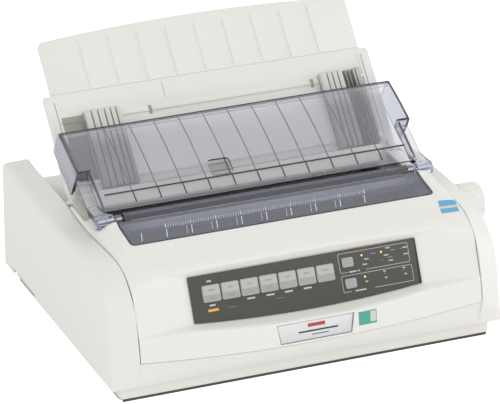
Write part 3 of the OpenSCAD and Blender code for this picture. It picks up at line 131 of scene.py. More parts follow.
floorMesh = bpy.data.meshes.new("floor")
wide = studio["floorHalf"]
floorCorners = [(-wide, -wide, 0), (wide, -wide, 0), (wide, wide, 0), (-wide, wide, 0)]
floorMesh.from_pydata(floorCorners, [], [(0, 1, 2, 3)])
floor = bpy.data.objects.new("floor", floorMesh)
scene.collection.objects.link(floor)
paper = bpy.data.materials.new("studioPaper")
paper.use_nodes = True
tree = paper.node_tree
tree.nodes.clear()
rays = addNode(tree, "ShaderNodeLightPath").outputs
glow = addNode(tree, "ShaderNodeMapRange", {"To Min": studio["floorLight"], "To Max": studio["floorGlow"]},
               {"Value": rays["Is Camera Ray"]})
sheet = addNode(tree, "ShaderNodeBsdfDiffuse", {"Color": (studio["floorColour"],) * 3 + (1,)})
shine = addNode(tree, "ShaderNodeEmission", {"Color": white}, {"Strength": glow.outputs[0]})
both = addNode(tree, "ShaderNodeAddShader", {}, {0: sheet.outputs[0], 1: shine.outputs[0]})
addNode(tree, "ShaderNodeOutputMaterial", {}, {"Surface": both.outputs[0]})
floorMesh.materials.append(paper)
print("stage ready")

made = {}  # the finishes by name


def startMaterial(name):
    material = bpy.data.materials.new(name)
    material.use_nodes = True
    material.node_tree.nodes.clear()
    made[name] = material
    where = addNode(material.node_tree, "ShaderNodeTexCoord").outputs["Object"]
    return material.node_tree, where


def finishMaterial(tree, shader, **volume):
    addNode(tree, "ShaderNodeOutputMaterial", {}, {"Surface": shader.outputs[0], **volume})


def lumps(tree, where, millimetres, detail=2.0):
    # noise whose lumps are about this many millimetres across
    settings = {"Scale": 500 / millimetres, "Detail": detail}
    return addNode(tree, "ShaderNodeTexNoise", settings, {"Vector": where})


def clouded(tree, where, colour, deep, millimetres):
    # two near colours in soft patches
    cloud = lumps(tree, where, millimetres, 3.0)
    return addNode(tree, "ShaderNodeMix", {"data_type": "RGBA", 6: linear(colour), 7: linear(deep)},
                   {0: cloud.outputs[0]}).outputs[2]


def spread(tree, source, middle, reach):
    # the source's 0 to 1 laid out round a middle value
    return addNode(tree, "ShaderNodeMapRange", {"To Min": middle - reach, "To Max": middle + reach},
                   {"Value": source}).outputs[0]


def mouldedPlastic(name, colour, deep, grain, rough, relief, cloud=60, ior=1.53, foot=None, fade=None):
    # Moulded thermoplastic: a fine eroded grain that blurs the highlights, faint clouding, thin gloss
    tree, where = startMaterial(name)
    tint = clouded(tree, where, colour, deep, cloud)
    if foot:
        # painted shade: darker towards its foot, between two heights in millimetres
        height = addNode(tree, "ShaderNodeSeparateXYZ", {}, {0: where})
        share = addNode(tree, "ShaderNodeMapRange", {"From Min": fade[0] / 1000, "From Max": fade[1] / 1000},
                        {"Value": height.outputs[2]})
        tint = addNode(tree, "ShaderNodeMix", {"data_type": "RGBA", 6: linear(foot)},
                       {0: share.outputs[0], 7: tint}).outputs[2]
    fine = lumps(tree, where, grain).outputs[0]
    bump = addNode(tree, "ShaderNodeBump", {"Strength": relief, "Distance": grain / 2000}, {"Height": fine})
    shader = addNode(tree, "ShaderNodeBsdfPrincipled", {"IOR": ior}, {
        "Base Color": tint, "Roughness": spread(tree, fine, rough, 0.05), "Normal": bump.outputs[0]})
    finishMaterial(tree, shader)


# colour and the deeper colour of the clouds, grain and clouds in millimetres, roughness, relief of the grain
plastics = {
    # acrylonitrile butadiene styrene with a spark-eroded grain, 0.4 mm drawn at 0.8 mm so that it shows
    "sparkErodedAbs": {"colour": "#EDECE7", "deep": "#E9E8E2", "grain": 0.8, "rough": 0.42, "relief": 0.16},
    # the same resin from a smoother tool, a little glossier
    "satinAbs": {"colour": "#EBEAE5", "deep": "#E7E6E0", "grain": 0.8, "rough": 0.36, "relief": 0.08},
    # grey polystyrene of the ribbed paper guides, dull, with painted shade that makes it darker low down,
    # where the covers shade it
    "greyPolystyrene": {"colour": "#D8D8D2", "deep": "#D1D1CB", "grain": 0.8, "rough": 0.4, "relief": 0.1,
                        "foot": "#8E8E91", "fade": (166, 182)},
    # painted shade: the right guide's last lands, darker all over and darker still low down
    "shadedPolystyrene": {"colour": "#C4C4BF", "deep": "#BDBDB8", "grain": 0.8, "rough": 0.4, "relief": 0.1,
                          "foot": "#4E4E54", "fade": (166, 188)},
    # the floor of the slits between the lands, with painted shade darker low down
    "slitPolystyrene": {"colour": "#908E86", "deep": "#8A8880", "grain": 0.8, "rough": 0.6, "relief": 0.1,
                        "foot": "#48484D", "fade": (166, 182)},
    # key tops: matt grey, with a paler field above the step
    "keyGrey": {"colour": "#A7A9A5", "deep": "#A2A4A0", "grain": 0.6, "rough": 0.38, "relief": 0.06,
                "cloud": 12},
    "keyPale": {"colour": "#BBBDB9", "deep": "#B6B8B4", "grain": 0.6, "rough": 0.38, "relief": 0.06,
                "cloud": 12},
    # polyester film with matt warm grey ink printed on its back
    "printedFilm": {"colour": "#484542", "deep": "#44423E", "grain": 0.7, "rough": 0.46, "relief": 0.05},
    # painted shadow of the sunk field's right flank, laid on the film as a dark strip
    "shadeInk": {"colour": "#201F1E", "deep": "#1C1B1A", "grain": 0.6, "rough": 0.5, "relief": 0.04},
    # painted shade: greyer patches standing in for the shaded recess beside the rails, and a darker one for
    # its deepest part
    "trackPlastic": {"colour": "#A7A69A", "deep": "#9F9E92", "grain": 0.8, "rough": 0.5, "relief": 0.1},
    "trackShade": {"colour": "#5E5D58", "deep": "#595852", "grain": 0.8, "rough": 0.5, "relief": 0.1},
    "slitPlastic": {"colour": "#716F66", "deep": "#6A685F", "grain": 0.8, "rough": 0.6, "relief": 0.1},
    # edges and ribs of the smoked mouldings, where light goes the long way and hardly comes out
    "smokedEdge": {"colour": "#24263C", "deep": "#1E2034", "grain": 0.6, "rough": 0.18, "relief": 0.02,
                   "ior": 1.58},
    # glass-filled polyamide, black, dull
    "blackPolyamide": {"colour": "#303135", "deep": "#2A2B2F", "grain": 0.7, "rough": 0.5, "relief": 0.16},
    "ribbonPlastic": {"colour": "#232427", "deep": "#1D1E21", "grain": 0.7, "rough": 0.35, "relief": 0.08},
    # polyacetal, slick; the gears are of the natural kind, milky
    "bluePolyacetal": {"colour": "#2F62A4", "deep": "#2B5B9A", "grain": 0.6, "rough": 0.35, "relief": 0.06},
    "beigePolyacetal": {"colour": "#D8D5C6", "deep": "#D2CFBF", "grain": 0.6, "rough": 0.35, "relief": 0.06},
    "naturalAcetal": {"colour": "#E4E1D6", "deep": "#DDD9CC", "grain": 0.6, "rough": 0.28, "relief": 0.05},
    # rubbers: matt, ground or moulded
    "groundRubber": {"colour": "#2A2B2E", "deep": "#232427", "grain": 0.6, "rough": 0.72, "relief": 0.35},
    "mouldedRubber": {"colour": "#3A3835", "deep": "#33312E", "grain": 0.8, "rough": 0.75, "relief": 0.25},
    # baked enamel on steel, with a little orange peel
    "bakedEnamel": {"colour": "#4D4942", "deep": "#46433C", "grain": 1.6, "rough": 0.45, "relief": 0.2},
}
for name, look in plastics.items():
    mouldedPlastic(name, **look)

# inks, a little uneven: thin satin ones from a pad, smoother ones from a screen; the ruler's marks, cut into
# the window, and the painted glints of the cover's ribs on the window are alike
padInk = {"grain": 0.4, "rough": 0.5, "relief": 0.04, "cloud": 3}
screenInk = {"grain": 0.5, "rough": 0.4, "relief": 0.04, "cloud": 4}
inks = {
    "whiteInk": ("#D9D8D2", "#CFCEC8", padInk), "blackInk": ("#33363A", "#2E3034", padInk),
    "redInk": ("#B8453A", "#B04036", padInk), "greenInk": ("#4FAE98", "#49A690", screenInk),
    "blueInk": ("#62AFD5", "#5AA8D0", screenInk), "paleInk": ("#C9C9C2", "#BFBFB8", screenInk),
    "amberInk": ("#F0B24A", "#E8A840", screenInk), "dimInk": ("#6E6B66", "#686560", screenInk),
    "captionInk": ("#9C9E9A", "#949692", screenInk), "borderInk": ("#85868A", "#7C7D81", screenInk),
    "etchedMark": ("#E2E6F0", "#D8DDEA", screenInk),
}
for name, (colour, deep, look) in inks.items():
    mouldedPlastic(name, colour, deep, **look)


def sheetMetal(name, colour, deep, line, stretch, rough):
    # Worked metal: fine scratches along one axis that stretch the highlights, and slight staining
    tree, where = startMaterial(name)
    squeeze = addNode(tree, "ShaderNodeMapping", {"Scale": stretch}, {"Vector": where})
    lines = lumps(tree, squeeze.outputs[0], line, 3.0).outputs[0]
    bump = addNode(tree, "ShaderNodeBump", {"Strength": 0.12, "Distance": line / 3000}, {"Height": lines})
    shader = addNode(tree, "ShaderNodeBsdfPrincipled", {"Metallic": 1.0}, {
        "Base Color": clouded(tree, where, colour, deep, 25), "Roughness": spread(tree, lines, rough, 0.07),
        "Normal": bump.outputs[0]})
    finishMaterial(tree, shader)


# colour and the deeper colour of the stains, scratch width in millimetres and how far it is drawn out
metals = {
    # zinc plated sheet: cloudy blue-grey with rolling lines along the sheet
    "zincPlatedSheet": {"colour": "#B9BDC1", "deep": "#A6ABB0", "line": 0.6, "stretch": (1, 0.06, 1),
                        "rough": 0.38},
    # centreless ground bar: rings round the bar, bright
    "groundSteel": {"colour": "#C3C7CA", "deep": "#B6BABD", "line": 0.5, "stretch": (1, 0.02, 0.02),
                    "rough": 0.22},
    # drawn motor cans and die castings
    "castAluminium": {"colour": "#9DA0A3", "deep": "#8E9194", "line": 0.8, "stretch": (1, 1, 1),
                      "rough": 0.48},
    # tin plated connector shells
    "tinPlate": {"colour": "#A9ABAD", "deep": "#9B9DA0", "line": 0.5, "stretch": (0.1, 1, 1), "rough": 0.3},
    # satin silver foil of the name plate
    "satinFoil": {"colour": "#E3E3E3", "deep": "#DCDCDD", "line": 0.5, "stretch": (0.04, 1, 1), "rough": 0.5},
}
for name, look in metals.items():
    sheetMetal(name, **look)


def tintedPolycarbonate(name, density, tint=(0.0, 0.2, 0.95)):
    # Smoke tinted polycarbonate, polished: clear across 2 mm, navy where light goes the long way
    tree, where = startMaterial(name)
    wave = lumps(tree, where, 30, 1.0).outputs[0]
    bump = addNode(tree, "ShaderNodeBump", {"Strength": 0.05, "Distance": 0.0006}, {"Height": wave})
    shader = addNode(tree, "ShaderNodeBsdfPrincipled",
                     {"Base Color": white, "Roughness": 0.03, "IOR": 1.58, "Transmission Weight": 0.93},
                     {"Normal": bump.outputs[0]})
    inside = addNode(tree, "ShaderNodeVolumeAbsorption", {"Color": tint + (1,), "Density": density})
    finishMaterial(tree, shader, Volume=inside.outputs[0])


def lampLens(name, colour, strength):
    # Diffused epoxy lens of an indicator, glowing when lit
    tree, where = startMaterial(name)
    haze = lumps(tree, where, 0.8)
    shade = linear(colour)
    shader = addNode(tree, "ShaderNodeBsdfPrincipled", {
        "Base Color": shade, "IOR": 1.55, "Emission Color": shade, "Emission Strength": strength},
        {"Roughness": spread(tree, haze.outputs[0], 0.275, 0.075)})
    finishMaterial(tree, shader)


def solderMask(name):
    # Green solder mask over copper tracks 1.2 mm apart that show as paler lines
    tree, where = startMaterial(name)
    tracks = addNode(tree, "ShaderNodeTexBrick", {
        "Scale": 400.0, "Mortar Size": 0.03, "Brick Width": 0.9, "Row Height": 0.5,
        "Color1": linear("#2E6B46"), "Color2": linear("#2A6240"), "Mortar": linear("#3F8458")},
        {"Vector": where})
    shader = addNode(tree, "ShaderNodeBsdfPrincipled", {"Roughness": 0.32, "IOR": 1.5},
                     {"Base Color": tracks.outputs[0]})
    finishMaterial(tree, shader)


tintedPolycarbonate("smokedPolycarbonate", 30.0)
# painted shade: a much denser, darker tint stands in for the dark mechanism seen under the window
tintedPolycarbonate("shadeTintedPolycarbonate", 330.0, (0.07, 0.12, 0.45))
tintedPolycarbonate("clearPolycarbonate", 22.0)
lampLens("litLamp", "#FFD24A", 1.5)
lampLens("restingLamp", "#8A8468", 0.0)
solderMask("solderMask")

finishOf = {
    "case_plastic": "sparkErodedAbs", "guide_plastic": "satinAbs", "panel_film": "printedFilm",
    "key_plastic": "keyGrey", "lamp_lens": "restingLamp", "circuit_board": "solderMask",
    "silver_plate": "satinFoil", "tinted_clear": "smokedPolycarbonate", "steel_sheet": "zincPlatedSheet",
    "steel_rod": "groundSteel", "base_steel": "bakedEnamel", "motor_case": "castAluminium",
    "platen_rubber": "groundRubber", "foot_rubber": "mouldedRubber", "belt_rubber": "mouldedRubber",
    "gear_plastic": "naturalAcetal", "black_plastic": "blackPolyamide", "ribbon_plastic": "ribbonPlastic",
    "blue_plastic": "bluePolyacetal", "grey_ribs": "greyPolystyrene", "beige_plastic": "beigePolyacetal",
    "connector_metal": "tinPlate",
}
for name, node in nodes.items():
    finish = made[finishOf[slotOf[name]]]
    if not node.data.materials:
        node.data.materials.append(finish)
    for k in range(len(node.data.materials)):
        node.data.materials[k] = finish
print("materials assigned to", len(nodes), "parts")


# mesh helpers, all sizes in case millimetres
def newPiece(name, points, faces, finish):
    mesh = bpy.data.meshes.new(name)
    mesh.from_pydata([place(*p) for p in points], [], faces)
    mesh.materials.append(made[finish])
    tidyMesh(mesh)
    smoothMesh(mesh)
    return linked(name, mesh)


def linked(name, mesh):
    piece = bpy.data.objects.new(name, mesh)
    scene.collection.objects.link(piece)
    return piece


def tidyMesh(mesh, outward=True, flatten=False):
    # merge what meets, join flat faces if asked, and turn the faces outwards
    work = bmesh.new()
    work.from_mesh(mesh)
    bmesh.ops.remove_doubles(work, verts=work.verts, dist=2e-6)
    bmesh.ops.dissolve_degenerate(work, dist=1e-6, edges=work.edges)
    if flatten:
        bmesh.ops.dissolve_limit(work, angle_limit=math.radians(0.6), verts=work.verts, edges=work.edges)
    if outward:
        bmesh.ops.recalc_face_normals(work, faces=work.faces)
    work.to_mesh(mesh)
    work.free()


def smoothMesh(mesh, sharp=32):
    mesh.shade_smooth()
    mesh.set_sharp_from_angle(angle=math.radians(sharp))


def bake(piece, sharp=32):
    # the evaluated mesh takes the place of the mesh and its modifiers
    graph = bpy.context.evaluated_depsgraph_get()
    result = bpy.data.meshes.new_from_object(piece.evaluated_get(graph))
    piece.modifiers.clear()
    piece.data = result
    smoothMesh(result, sharp)
    return piece


def addBoolean(piece, operation, tool):
    step = piece.modifiers.new(operation, "BOOLEAN")
    step.operation = operation
    step.solver = "MANIFOLD"
    step.object = tool


def cut(piece, *cutters):
    for cutter in cutters:
        addBoolean(piece, "DIFFERENCE", cutter)
    bake(piece)
    for cutter in cutters:
        bpy.data.objects.remove(cutter)
    tidyMesh(piece.data, outward=False)
    smoothMesh(piece.data)
    return piece


def softenEdges(piece, width):
    rounding = piece.modifiers.new("softenEdges", "BEVEL")
    rounding.width = width / 1000
    rounding.segments = 2
    rounding.limit_method = "ANGLE"
    rounding.angle_limit = math.radians(35)
    return bake(piece)


def closedSolids(name, solids, finish="sparkErodedAbs"):
    # one mesh with a closed skin over each solid's rings, which have equal lengths
    points, faces = [], []
    for rings in solids:
        first, size = len(points), len(rings[0])
        points += [p for ring in rings for p in ring]
        last = len(points) - size
        for i in range(first, last, size):
            for j in range(size):
                k = (j + 1) % size
                faces.append((i + j, i + k, i + size + k, i + size + j))
        faces += [tuple(reversed(range(first, first + size))), tuple(range(last, last + size))]
    return newPiece(name, points, faces, finish)


def ringSolid(name, rings, finish="sparkErodedAbs"):
    return closedSolids(name, [rings], finish)


def ringsX(outline, xs):
    # a YZ outline at each x
    return [[(x, y, z) for y, z in outline] for x in xs]


def prismX(name, outline, xs, finish="sparkErodedAbs"):
    return ringSolid(name, ringsX(outline, xs), finish)


def prismZ(name, outline, zs):
    return ringSolid(name, [[(x, y, z) for x, y in outline] for z in zs])


def quad(x0, x1, v0, v1):
    return [(x0, v0), (x1, v0), (x1, v1), (x0, v1)]


def boxSolid(name, xs, ys, zs, finish="sparkErodedAbs"):
    return prismX(name, quad(*ys, *zs), xs, finish)


def arcPoints(centre, radius, start, end, steps=6):
    angles = [math.radians(start + (end - start) * k / steps) for k in range(steps + 1)]
    return [(centre[0] + radius * math.cos(a), centre[1] + radius * math.sin(a)) for a in angles]


def rodX(name, xs, centre, diameter, finish="sparkErodedAbs"):
    return prismX(name, arcPoints(centre, diameter / 2, 0, 350, 35), xs, finish)


def roundedBox(low, high, radius, steps=6):
    # outline of a rectangle with round corners
    corners = [(high[0] - radius, high[1] - radius, 0), (low[0] + radius, high[1] - radius, 90),
               (low[0] + radius, low[1] + radius, 180), (high[0] - radius, low[1] + radius, 270)]
    return [p for x, y, turn in corners for p in arcPoints((x, y), radius, turn, turn + 90, steps)]


def mirrored(side, near, far):
    # the x span between two distances from the middle, on one side
    return sorted((side * near, side * far))


def around(middle, wide):
    return middle - wide / 2, middle + wide / 2


def mixed(a, b, share):
    return [p + (q - p) * share for p, q in zip(a, b)]


def spanCounts(points, stepLengths):
    # how many steps of about these lengths fit between the points
    return [max(2, round(math.dist(a[:2], b[:2]) / s)) for a, b, s in zip(points, points[1:], stepLengths)]


def curveThrough(points, counts):
    # centripetal Catmull-Rom curve through points whose first two values are a place
    line = [mixed(points[0], points[1], -1), *points, mixed(points[-1], points[-2], -1)]
    out = []
    for i, steps in enumerate(counts):
        p = line[i:i + 4]
        t = [0.0]
        for a, b in zip(p, p[1:]):
            t.append(t[-1] + max(1e-4, math.dist(a[:2], b[:2])) ** 0.5)
        for k in range(steps):
            u = t[1] + (t[2] - t[1]) * k / steps
            a = [mixed(p[j], p[j + 1], (u - t[j]) / (t[j + 1] - t[j])) for j in range(3)]
            b = [mixed(a[j], a[j + 1], (u - t[j]) / (t[j + 2] - t[j])) for j in range(2)]
            out.append(mixed(b[0], b[1], (u - t[1]) / (t[2] - t[1])))
    return out + [points[-1]]


def sloping(y, z, tilt, x=0.0, out=0.0):
    # the frame of a sloping face: u runs along x, v up the slope, and n out of the face
    rise, run = math.sin(math.radians(tilt)), math.cos(math.radians(tilt))

    def onFace(u, v, n):
        return x + u, y + v * run - (n + out) * rise, z + v * rise + (n + out) * run
    return onFace


def drawnIn(line, distances):
    # a YZ line moved to the right of its direction by a distance for each point
    out = []
    for i, (y, z) in enumerate(line):
        a, b = line[max(i - 1, 0)], line[min(i + 1, len(line) - 1)]
        length = math.dist(a, b) or 1
        out.append((y + distances[i] * (b[1] - a[1]) / length, z - distances[i] * (b[0] - a[0]) / length))
    return out


def stand(piece, *names, slot=None):
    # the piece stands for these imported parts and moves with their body
    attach(piece, bodyOf[names[0]])
    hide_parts(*names)
    slot or slotOf[names[0]]
    return piece


def addTo(piece, body):
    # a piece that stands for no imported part
    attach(piece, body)
    return piece


# the case: two hollow cheeks, a bowed band between them, the plinth and the rear wall
case = {"half": 199.0, "frontY": -150.5, "rearY": 150.5, "height": 125.0, "cheek": 24.8, "wall": 2.5,
        "lip": 0.5, "plinthTop": 16.7, "edge": 6.5, "gap": 1.0, "plinthHalf": 188.5, "footHeight": 3.2}
cheekIn = case["half"] - case["cheek"]
coverHalf = cheekIn - case["gap"]
frontY, rearY, caseHeight, wall = case["frontY"], case["rearY"], case["height"], case["wall"]
plinthTop, plinthHalf = case["plinthTop"], case["plinthHalf"]
far = 300  # well outside the case


def cheekOutline():
    # rear foot to front foot: y and z on the inner face, y and z on the outer face, share of the rounding
    h, f, r = caseHeight, frontY, rearY
    return [
        (r, plinthTop, r, plinthTop, 0), (r, h - 30, r, h - 30, 0),
        (r - 0.5, h - 3.5, r - 0.5, h - 4, 0.12), (r - 3.5, h + 1, r - 3.5, h + 0.4, 0.2),
        (r - 28, h + 0.8, r - 28, h - 3, 0.6), (r - 60, h + 0.5, r - 60, h - 7.6, 1),
        (r - 91, h, r - 91, h - 11.6, 1), (r - 112, h - 0.8, r - 116, h - 11.2, 1),
        (15, h - 3.6, 12, h - 10, 1), (-6.5, h - 5.3, -10, h - 9.2, 1), (-44.5, h - 4.6, -40, h - 8.6, 1),
        (f + 78, h - 3, f + 81, h - 9.6, 1), (f + 53, h - 2.4, f + 59, h - 13, 1),
        (f + 32, h - 6.5, f + 40, h - 18.6, 1), (f + 20, h - 14.6, f + 27, h - 27, 1),
        (f + 11.5, h - 22.5, f + 17, h - 37.5, 1), (f + 4.5, h - 32, f + 11, h - 51, 1),
        (f, h - 44, f + 7.6, h - 64, 1), (f - 3.6, h - 57, f + 5, h - 78, 0.8),
        (f - 7.8, plinthTop + 29, f + 2.6, plinthTop + 14, 0.5), (f, plinthTop, f, plinthTop, 0)]


cheekPoints = cheekOutline()
cheekSteps = [8.0, 2.0, 0.6] + [2.0] * (len(cheekPoints) - 4)
cheekDense = curveThrough(cheekPoints, spanCounts(cheekPoints, cheekSteps))


def cheekRing(side, x, inward, rounding, floorZ):
    share = (x - cheekIn) / case["cheek"]
    line = [mixed(p[:2], p[2:4], share) for p in cheekDense]
    inset = drawnIn(line, [-(inward + rounding * p[4]) for p in cheekDense])
    return [(side * x, y, max(z, floorZ)) for y, z in reversed(inset)]


def cheekSolid(name, side, thickness):
    # from the softened inner rim over the flat to the round outer edge; the cavity is the same, a wall inside
    edge = case["edge"] - thickness
    flat = case["half"] - case["edge"]
    start = cheekIn + thickness
    floorZ = plinthTop + thickness
    lip = 0 if thickness else case["lip"]
    rings = []
    for turn in (90, 60, 30) if lip else ():
        a = math.radians(turn)
        rings.append(cheekRing(side, start + lip * (1 - math.sin(a)), lip * (1 - math.cos(a)), 0, floorZ))
    for k in range(5):
        rings.append(cheekRing(side, start + lip + (flat - start - lip) * k / 5, thickness, 0, floorZ))
    for k in range(13):
        a = math.radians(90 * k / 12)
        rings.append(cheekRing(side, flat + edge * math.sin(a), thickness, edge * (1 - math.cos(a)), floorZ))
    return ringSolid(name, rings)


inside = {"front": 12, "rear": 8, "top": 92}
handHold = {"ys": (64, 124.9), "top": 22.0}
shaft = {"hole": 14, "z": 91}
switchHole = {"ys": around(-62.0, 13.0), "zs": around(58.0, 21.0)}
for side, name in ((-1, "leftCheek"), (1, "rightCheek")):
    cheek = cheekSolid(name, side, 0)
    tools = [cheekSolid("cavity", side, wall),
             boxSolid("tool", mirrored(side, cheekIn - 1, cheekIn + 2 * wall),
                      (frontY + inside["front"], rearY - inside["rear"]), (plinthTop + wall, inside["top"])),
             boxSolid("tool", mirrored(side, plinthHalf + wall, far), handHold["ys"], (0, handHold["top"]))]
    if side > 0:
        tools += [rodX("tool", (cheekIn - 1, far), (platenY, shaft["z"]), shaft["hole"]),
                  boxSolid("tool", (case["half"] - 2 * wall, far), switchHole["ys"], switchHole["zs"])]
    stand(cut(cheek, *tools), "lower_case")

# the band follows the upper cover's lower lip, a little behind it
band = {"half": cheekIn + wall / 2, "bow": 9.5, "out": 6.6, "up": 26.9, "ledge": 5.0, "foot": 6.5,
        "edge": 0.8}
bandRings = []
for k in range(61):
    x = band["half"] * (k / 30 - 1)
    bow = band["bow"] * (1 - min(abs(x) / coverHalf, 1) ** 2)
    y, z, low = frontY - band["out"] - bow, plinthTop + band["up"] - 0.5 * bow, plinthTop
    foot, ledge = frontY + band["foot"], y + wall + band["ledge"]
    bandRings.append([(x, frontY, low), (x, y, z), (x, ledge, z), (x, ledge, z - wall),
                      (x, y + wall, z - wall), (x, frontY + wall, low + wall),
                      (x, foot + wall, low + wall), (x, foot, low)])
stand(softenEdges(ringSolid("frontBand", bandRings), band["edge"]), "lower_case")

plinth = {"front": frontY + 6.5, "rear": rearY - 2.5, "corner": 3.0, "overlap": 0.2, "edge": 0.5}
edgeAndGapShade = {"inset": 2.5, "front": plinth["front"] + 0.5, "thick": 1.2, "low": 0.3, "overlap": 0.6}
trayOutline = roundedBox((-plinthHalf, plinth["front"]), (plinthHalf, plinth["rear"]), plinth["corner"])
tray = prismZ("plinthTray", trayOutline, (case["footHeight"], plinthTop + plinth["overlap"]))
# partly the dark base pan, partly painted shade: a dark enamel strip along the front fills the gap under the
# plinth down to near the floor
stand(boxSolid("baseEdgeAndGapShade", (edgeAndGapShade["inset"] - plinthHalf, plinthHalf - edgeAndGapShade["inset"]),
               (edgeAndGapShade["front"], edgeAndGapShade["front"] + edgeAndGapShade["thick"]),
               (edgeAndGapShade["low"], case["footHeight"] + edgeAndGapShade["overlap"]), "bakedEnamel"), "base_plate")
well = boxSolid("tool", (wall - plinthHalf, plinthHalf - wall),
                (plinth["front"] + wall, plinth["rear"] - wall), (0, 60))
stand(softenEdges(cut(tray, well), plinth["edge"]), "lower_case")

# holes in the rear wall: middle x and z, width and height
rear = {"half": cheekIn + wall, "top": 80, "edge": 0.4, "inlet": (-118.0, 38.0, 28.0, 21.0),
        "ports": [(10, 26, 68, 16), (68, 26, 14, 13), (104, 26, 40, 13)],
        "vents": 8, "firstVent": -60.5, "ventPitch": 7, "vent": (60, 3, 20)}
vents = [(rear["firstVent"] + rear["ventPitch"] * k, *rear["vent"]) for k in range(rear["vents"])]
back = boxSolid("rearWall", (-rear["half"], rear["half"]), (rearY - wall, rearY), (plinthTop, rear["top"]))
holes = [boxSolid("tool", around(x, wide), (rearY - 9, rearY + 9), around(z, high))
         for x, z, wide, high in [rear["inlet"], *rear["ports"], *vents]]
stand(softenEdges(cut(back, *holes), rear["edge"]), "lower_case")
ledgeZ = (plinthTop, plinthTop + wall)
rearLedge = boxSolid("rearLedge", (-plinthHalf, plinthHalf), (plinth["rear"] - wall, rearY - 0.1), ledgeZ)
stand(rearLedge, "lower_case")
for side, name in ((-1, "leftSwitchLedge"), (1, "rightSwitchLedge")):
    ledge = boxSolid(name, mirrored(side, plinthHalf - wall, case["half"] - case["edge"]),
                     (plinth["front"], plinth["rear"]), ledgeZ)
    stand(ledge, "lower_case")
print("case walls built")

# the upper cover, its sunk field and the panel's own frame of reference
panel = {"y": frontY + 22.1, "z": caseHeight - 16.4, "tilt": 63.74, "wide": 231.0, "high": 43.2, "thick": 2.0,
         "arch": 5.2}
field = {"top": 34.0, "low": 51.0, "over": 6.6, "under": 3.7, "rise": 4.0, "rim": 2.6, "foot": 1.4,
         "fold": 1.2, "from": -70, "to": 30}
hinge = {"y": -40.4, "z": caseHeight + 11.3}
window = {"half": 155.0, "frontY": frontY + 63.6, "gap": 0.4, "corner": 5.0, "behind": 8, "behindHalf": 157}
onPanel = sloping(panel["y"], panel["z"], panel["tilt"])  # from the panel's top edge


def toPanel(y, z):
    dy, dz, tilt = y - panel["y"], z - panel["z"], math.radians(panel["tilt"])
    return dy * math.cos(tilt) + dz * math.sin(tilt), dz * math.cos(tilt) - dy * math.sin(tilt)


def softMin(a, b, width):
    overlap = max(width - abs(a - b), 0) / width
    return min(a, b) - overlap * overlap * width / 4


def panelArch(x):
    # how far the panel's lower edge bows down
    return panel["arch"] * (1 - min(1, abs(x) / (panel["wide"] / 2)) ** 2)


def fieldHeight(x, v):
    # height over the panel's face to which the cover is sunk
    rise = field["rise"] + panel["thick"]
    down = min(1, max(0, -v / panel["high"]))
    side = rise * (abs(x) - panel["wide"] / 2) / (field["top"] + (field["low"] - field["top"]) * down)
    top = rise * v / field["over"]
    low = rise * (-v - panel["high"] - panelArch(x)) / field["under"]
    flank = -softMin(-side, -max(top, low), field["fold"])
    return -panel["thick"] - softMin(0, -flank, field["foot"])


def coverOutline():
    # lower lip to rear: y and z at the middle, y and z at the sides, and whether the window lies there
    h, f, low = caseHeight, frontY, plinthTop
    hy, hz = hinge["y"], hinge["z"]
    return [
        (f - 17.5, low + 23.3, f - 8, low + 28, 0), (f - 16, low + 38.3, f - 6.3, low + 39.3, 0),
        (f - 12.5, low + 51.3, f - 3.3, low + 52.3, 0), (f - 5.5, h - 42, f + 0.5, h - 42, 0),
        (f + 5.5, h - 24, f + 7.5, h - 26, 0), (f + 15.5, h - 12.5, f + 18, h - 15, 0),
        (f + 25.5, h - 5.7, f + 31.5, h - 7, 0), (f + 42.5, h - 0.6, f + 44.5, h - 3.5, 0),
        (f + 63.6, h + 4.8, f + 63.5, h - 2.5, 1), (hy - 15.6, hz - 1.1, hy - 15.6, h - 4, 1),
        (hy - 7, hz + 1.7, hy - 4, h - 4.5, 1), (hy + 6, h + 3, hy + 10, h - 5, 1),
        (-12, h + 1.5, -6.5, h - 5.4, 1), (29, h + 1, 29, h - 1.4, 1)]


coverPoints = coverOutline()
coverSteps = [2.0, 1.6, 1.2, 0.9, 0.8, 0.8, 1.6, 2.5, 3, 2, 2, 3, 4]
coverCounts = spanCounts(coverPoints, coverSteps)
coverEnd = {"y": 29, "drop": 25}
columns = {"pitch": 2.4, "flat": 64, "shoulder": 14}


def coverRing(x, inward, foot):
    # the front falls away by a parabola, the top by a quarter ellipse beyond the window
    bow = min(1, abs(x) / coverHalf) ** 2
    t = min(1, max(0, (abs(x) - window["half"]) / (coverHalf - window["half"])))
    shoulder = 1 - math.sqrt(1 - t * t)
    coarse = [mixed(p[:2], p[2:4], shoulder if p[4] else bow) for p in coverPoints]
    dense = curveThrough(coarse, coverCounts)
    line = drawnIn(dense, [inward] * len(dense))
    ring = []
    for y, z in line:
        v, n = toPanel(y, z)
        if field["from"] < v < field["to"]:
            n = softMin(n, fieldHeight(x, v) - inward, field["rim"])
            _, y, z = onPanel(x, v, n)
        ring.append((x, y, z))
    rearLow = (x, coverEnd["y"] - inward, caseHeight - coverEnd["drop"] - foot)
    frontLow = (x, line[0][0], line[0][1] - foot)
    return ring + ([rearLow, frontLow] if foot else [rearLow])


def coverSolid(name, inward, foot):
    # x stations, closer together on the rounded shoulders
    shoulder, steps = coverHalf - inward - window["half"], columns["shoulder"]
    right = [columns["pitch"] * (k + 0.5) for k in range(columns["flat"])]
    right += [window["half"] + shoulder * math.sin(math.pi / 2 * k / steps) for k in range(1, steps + 1)]
    return ringSolid(name, [coverRing(x, inward, foot) for x in [-x for x in reversed(right)] + right])


plate = {"x": -1.2, "y": frontY - 14.7, "low": 42.0, "top": 60.6, "halfLow": 36.0, "halfTop": 39.0,
         "lean": 9.6, "thick": 1.6, "pocket": 0.3, "innerWide": 0.982, "innerHigh": 0.94, "innerFoot": 0.5}
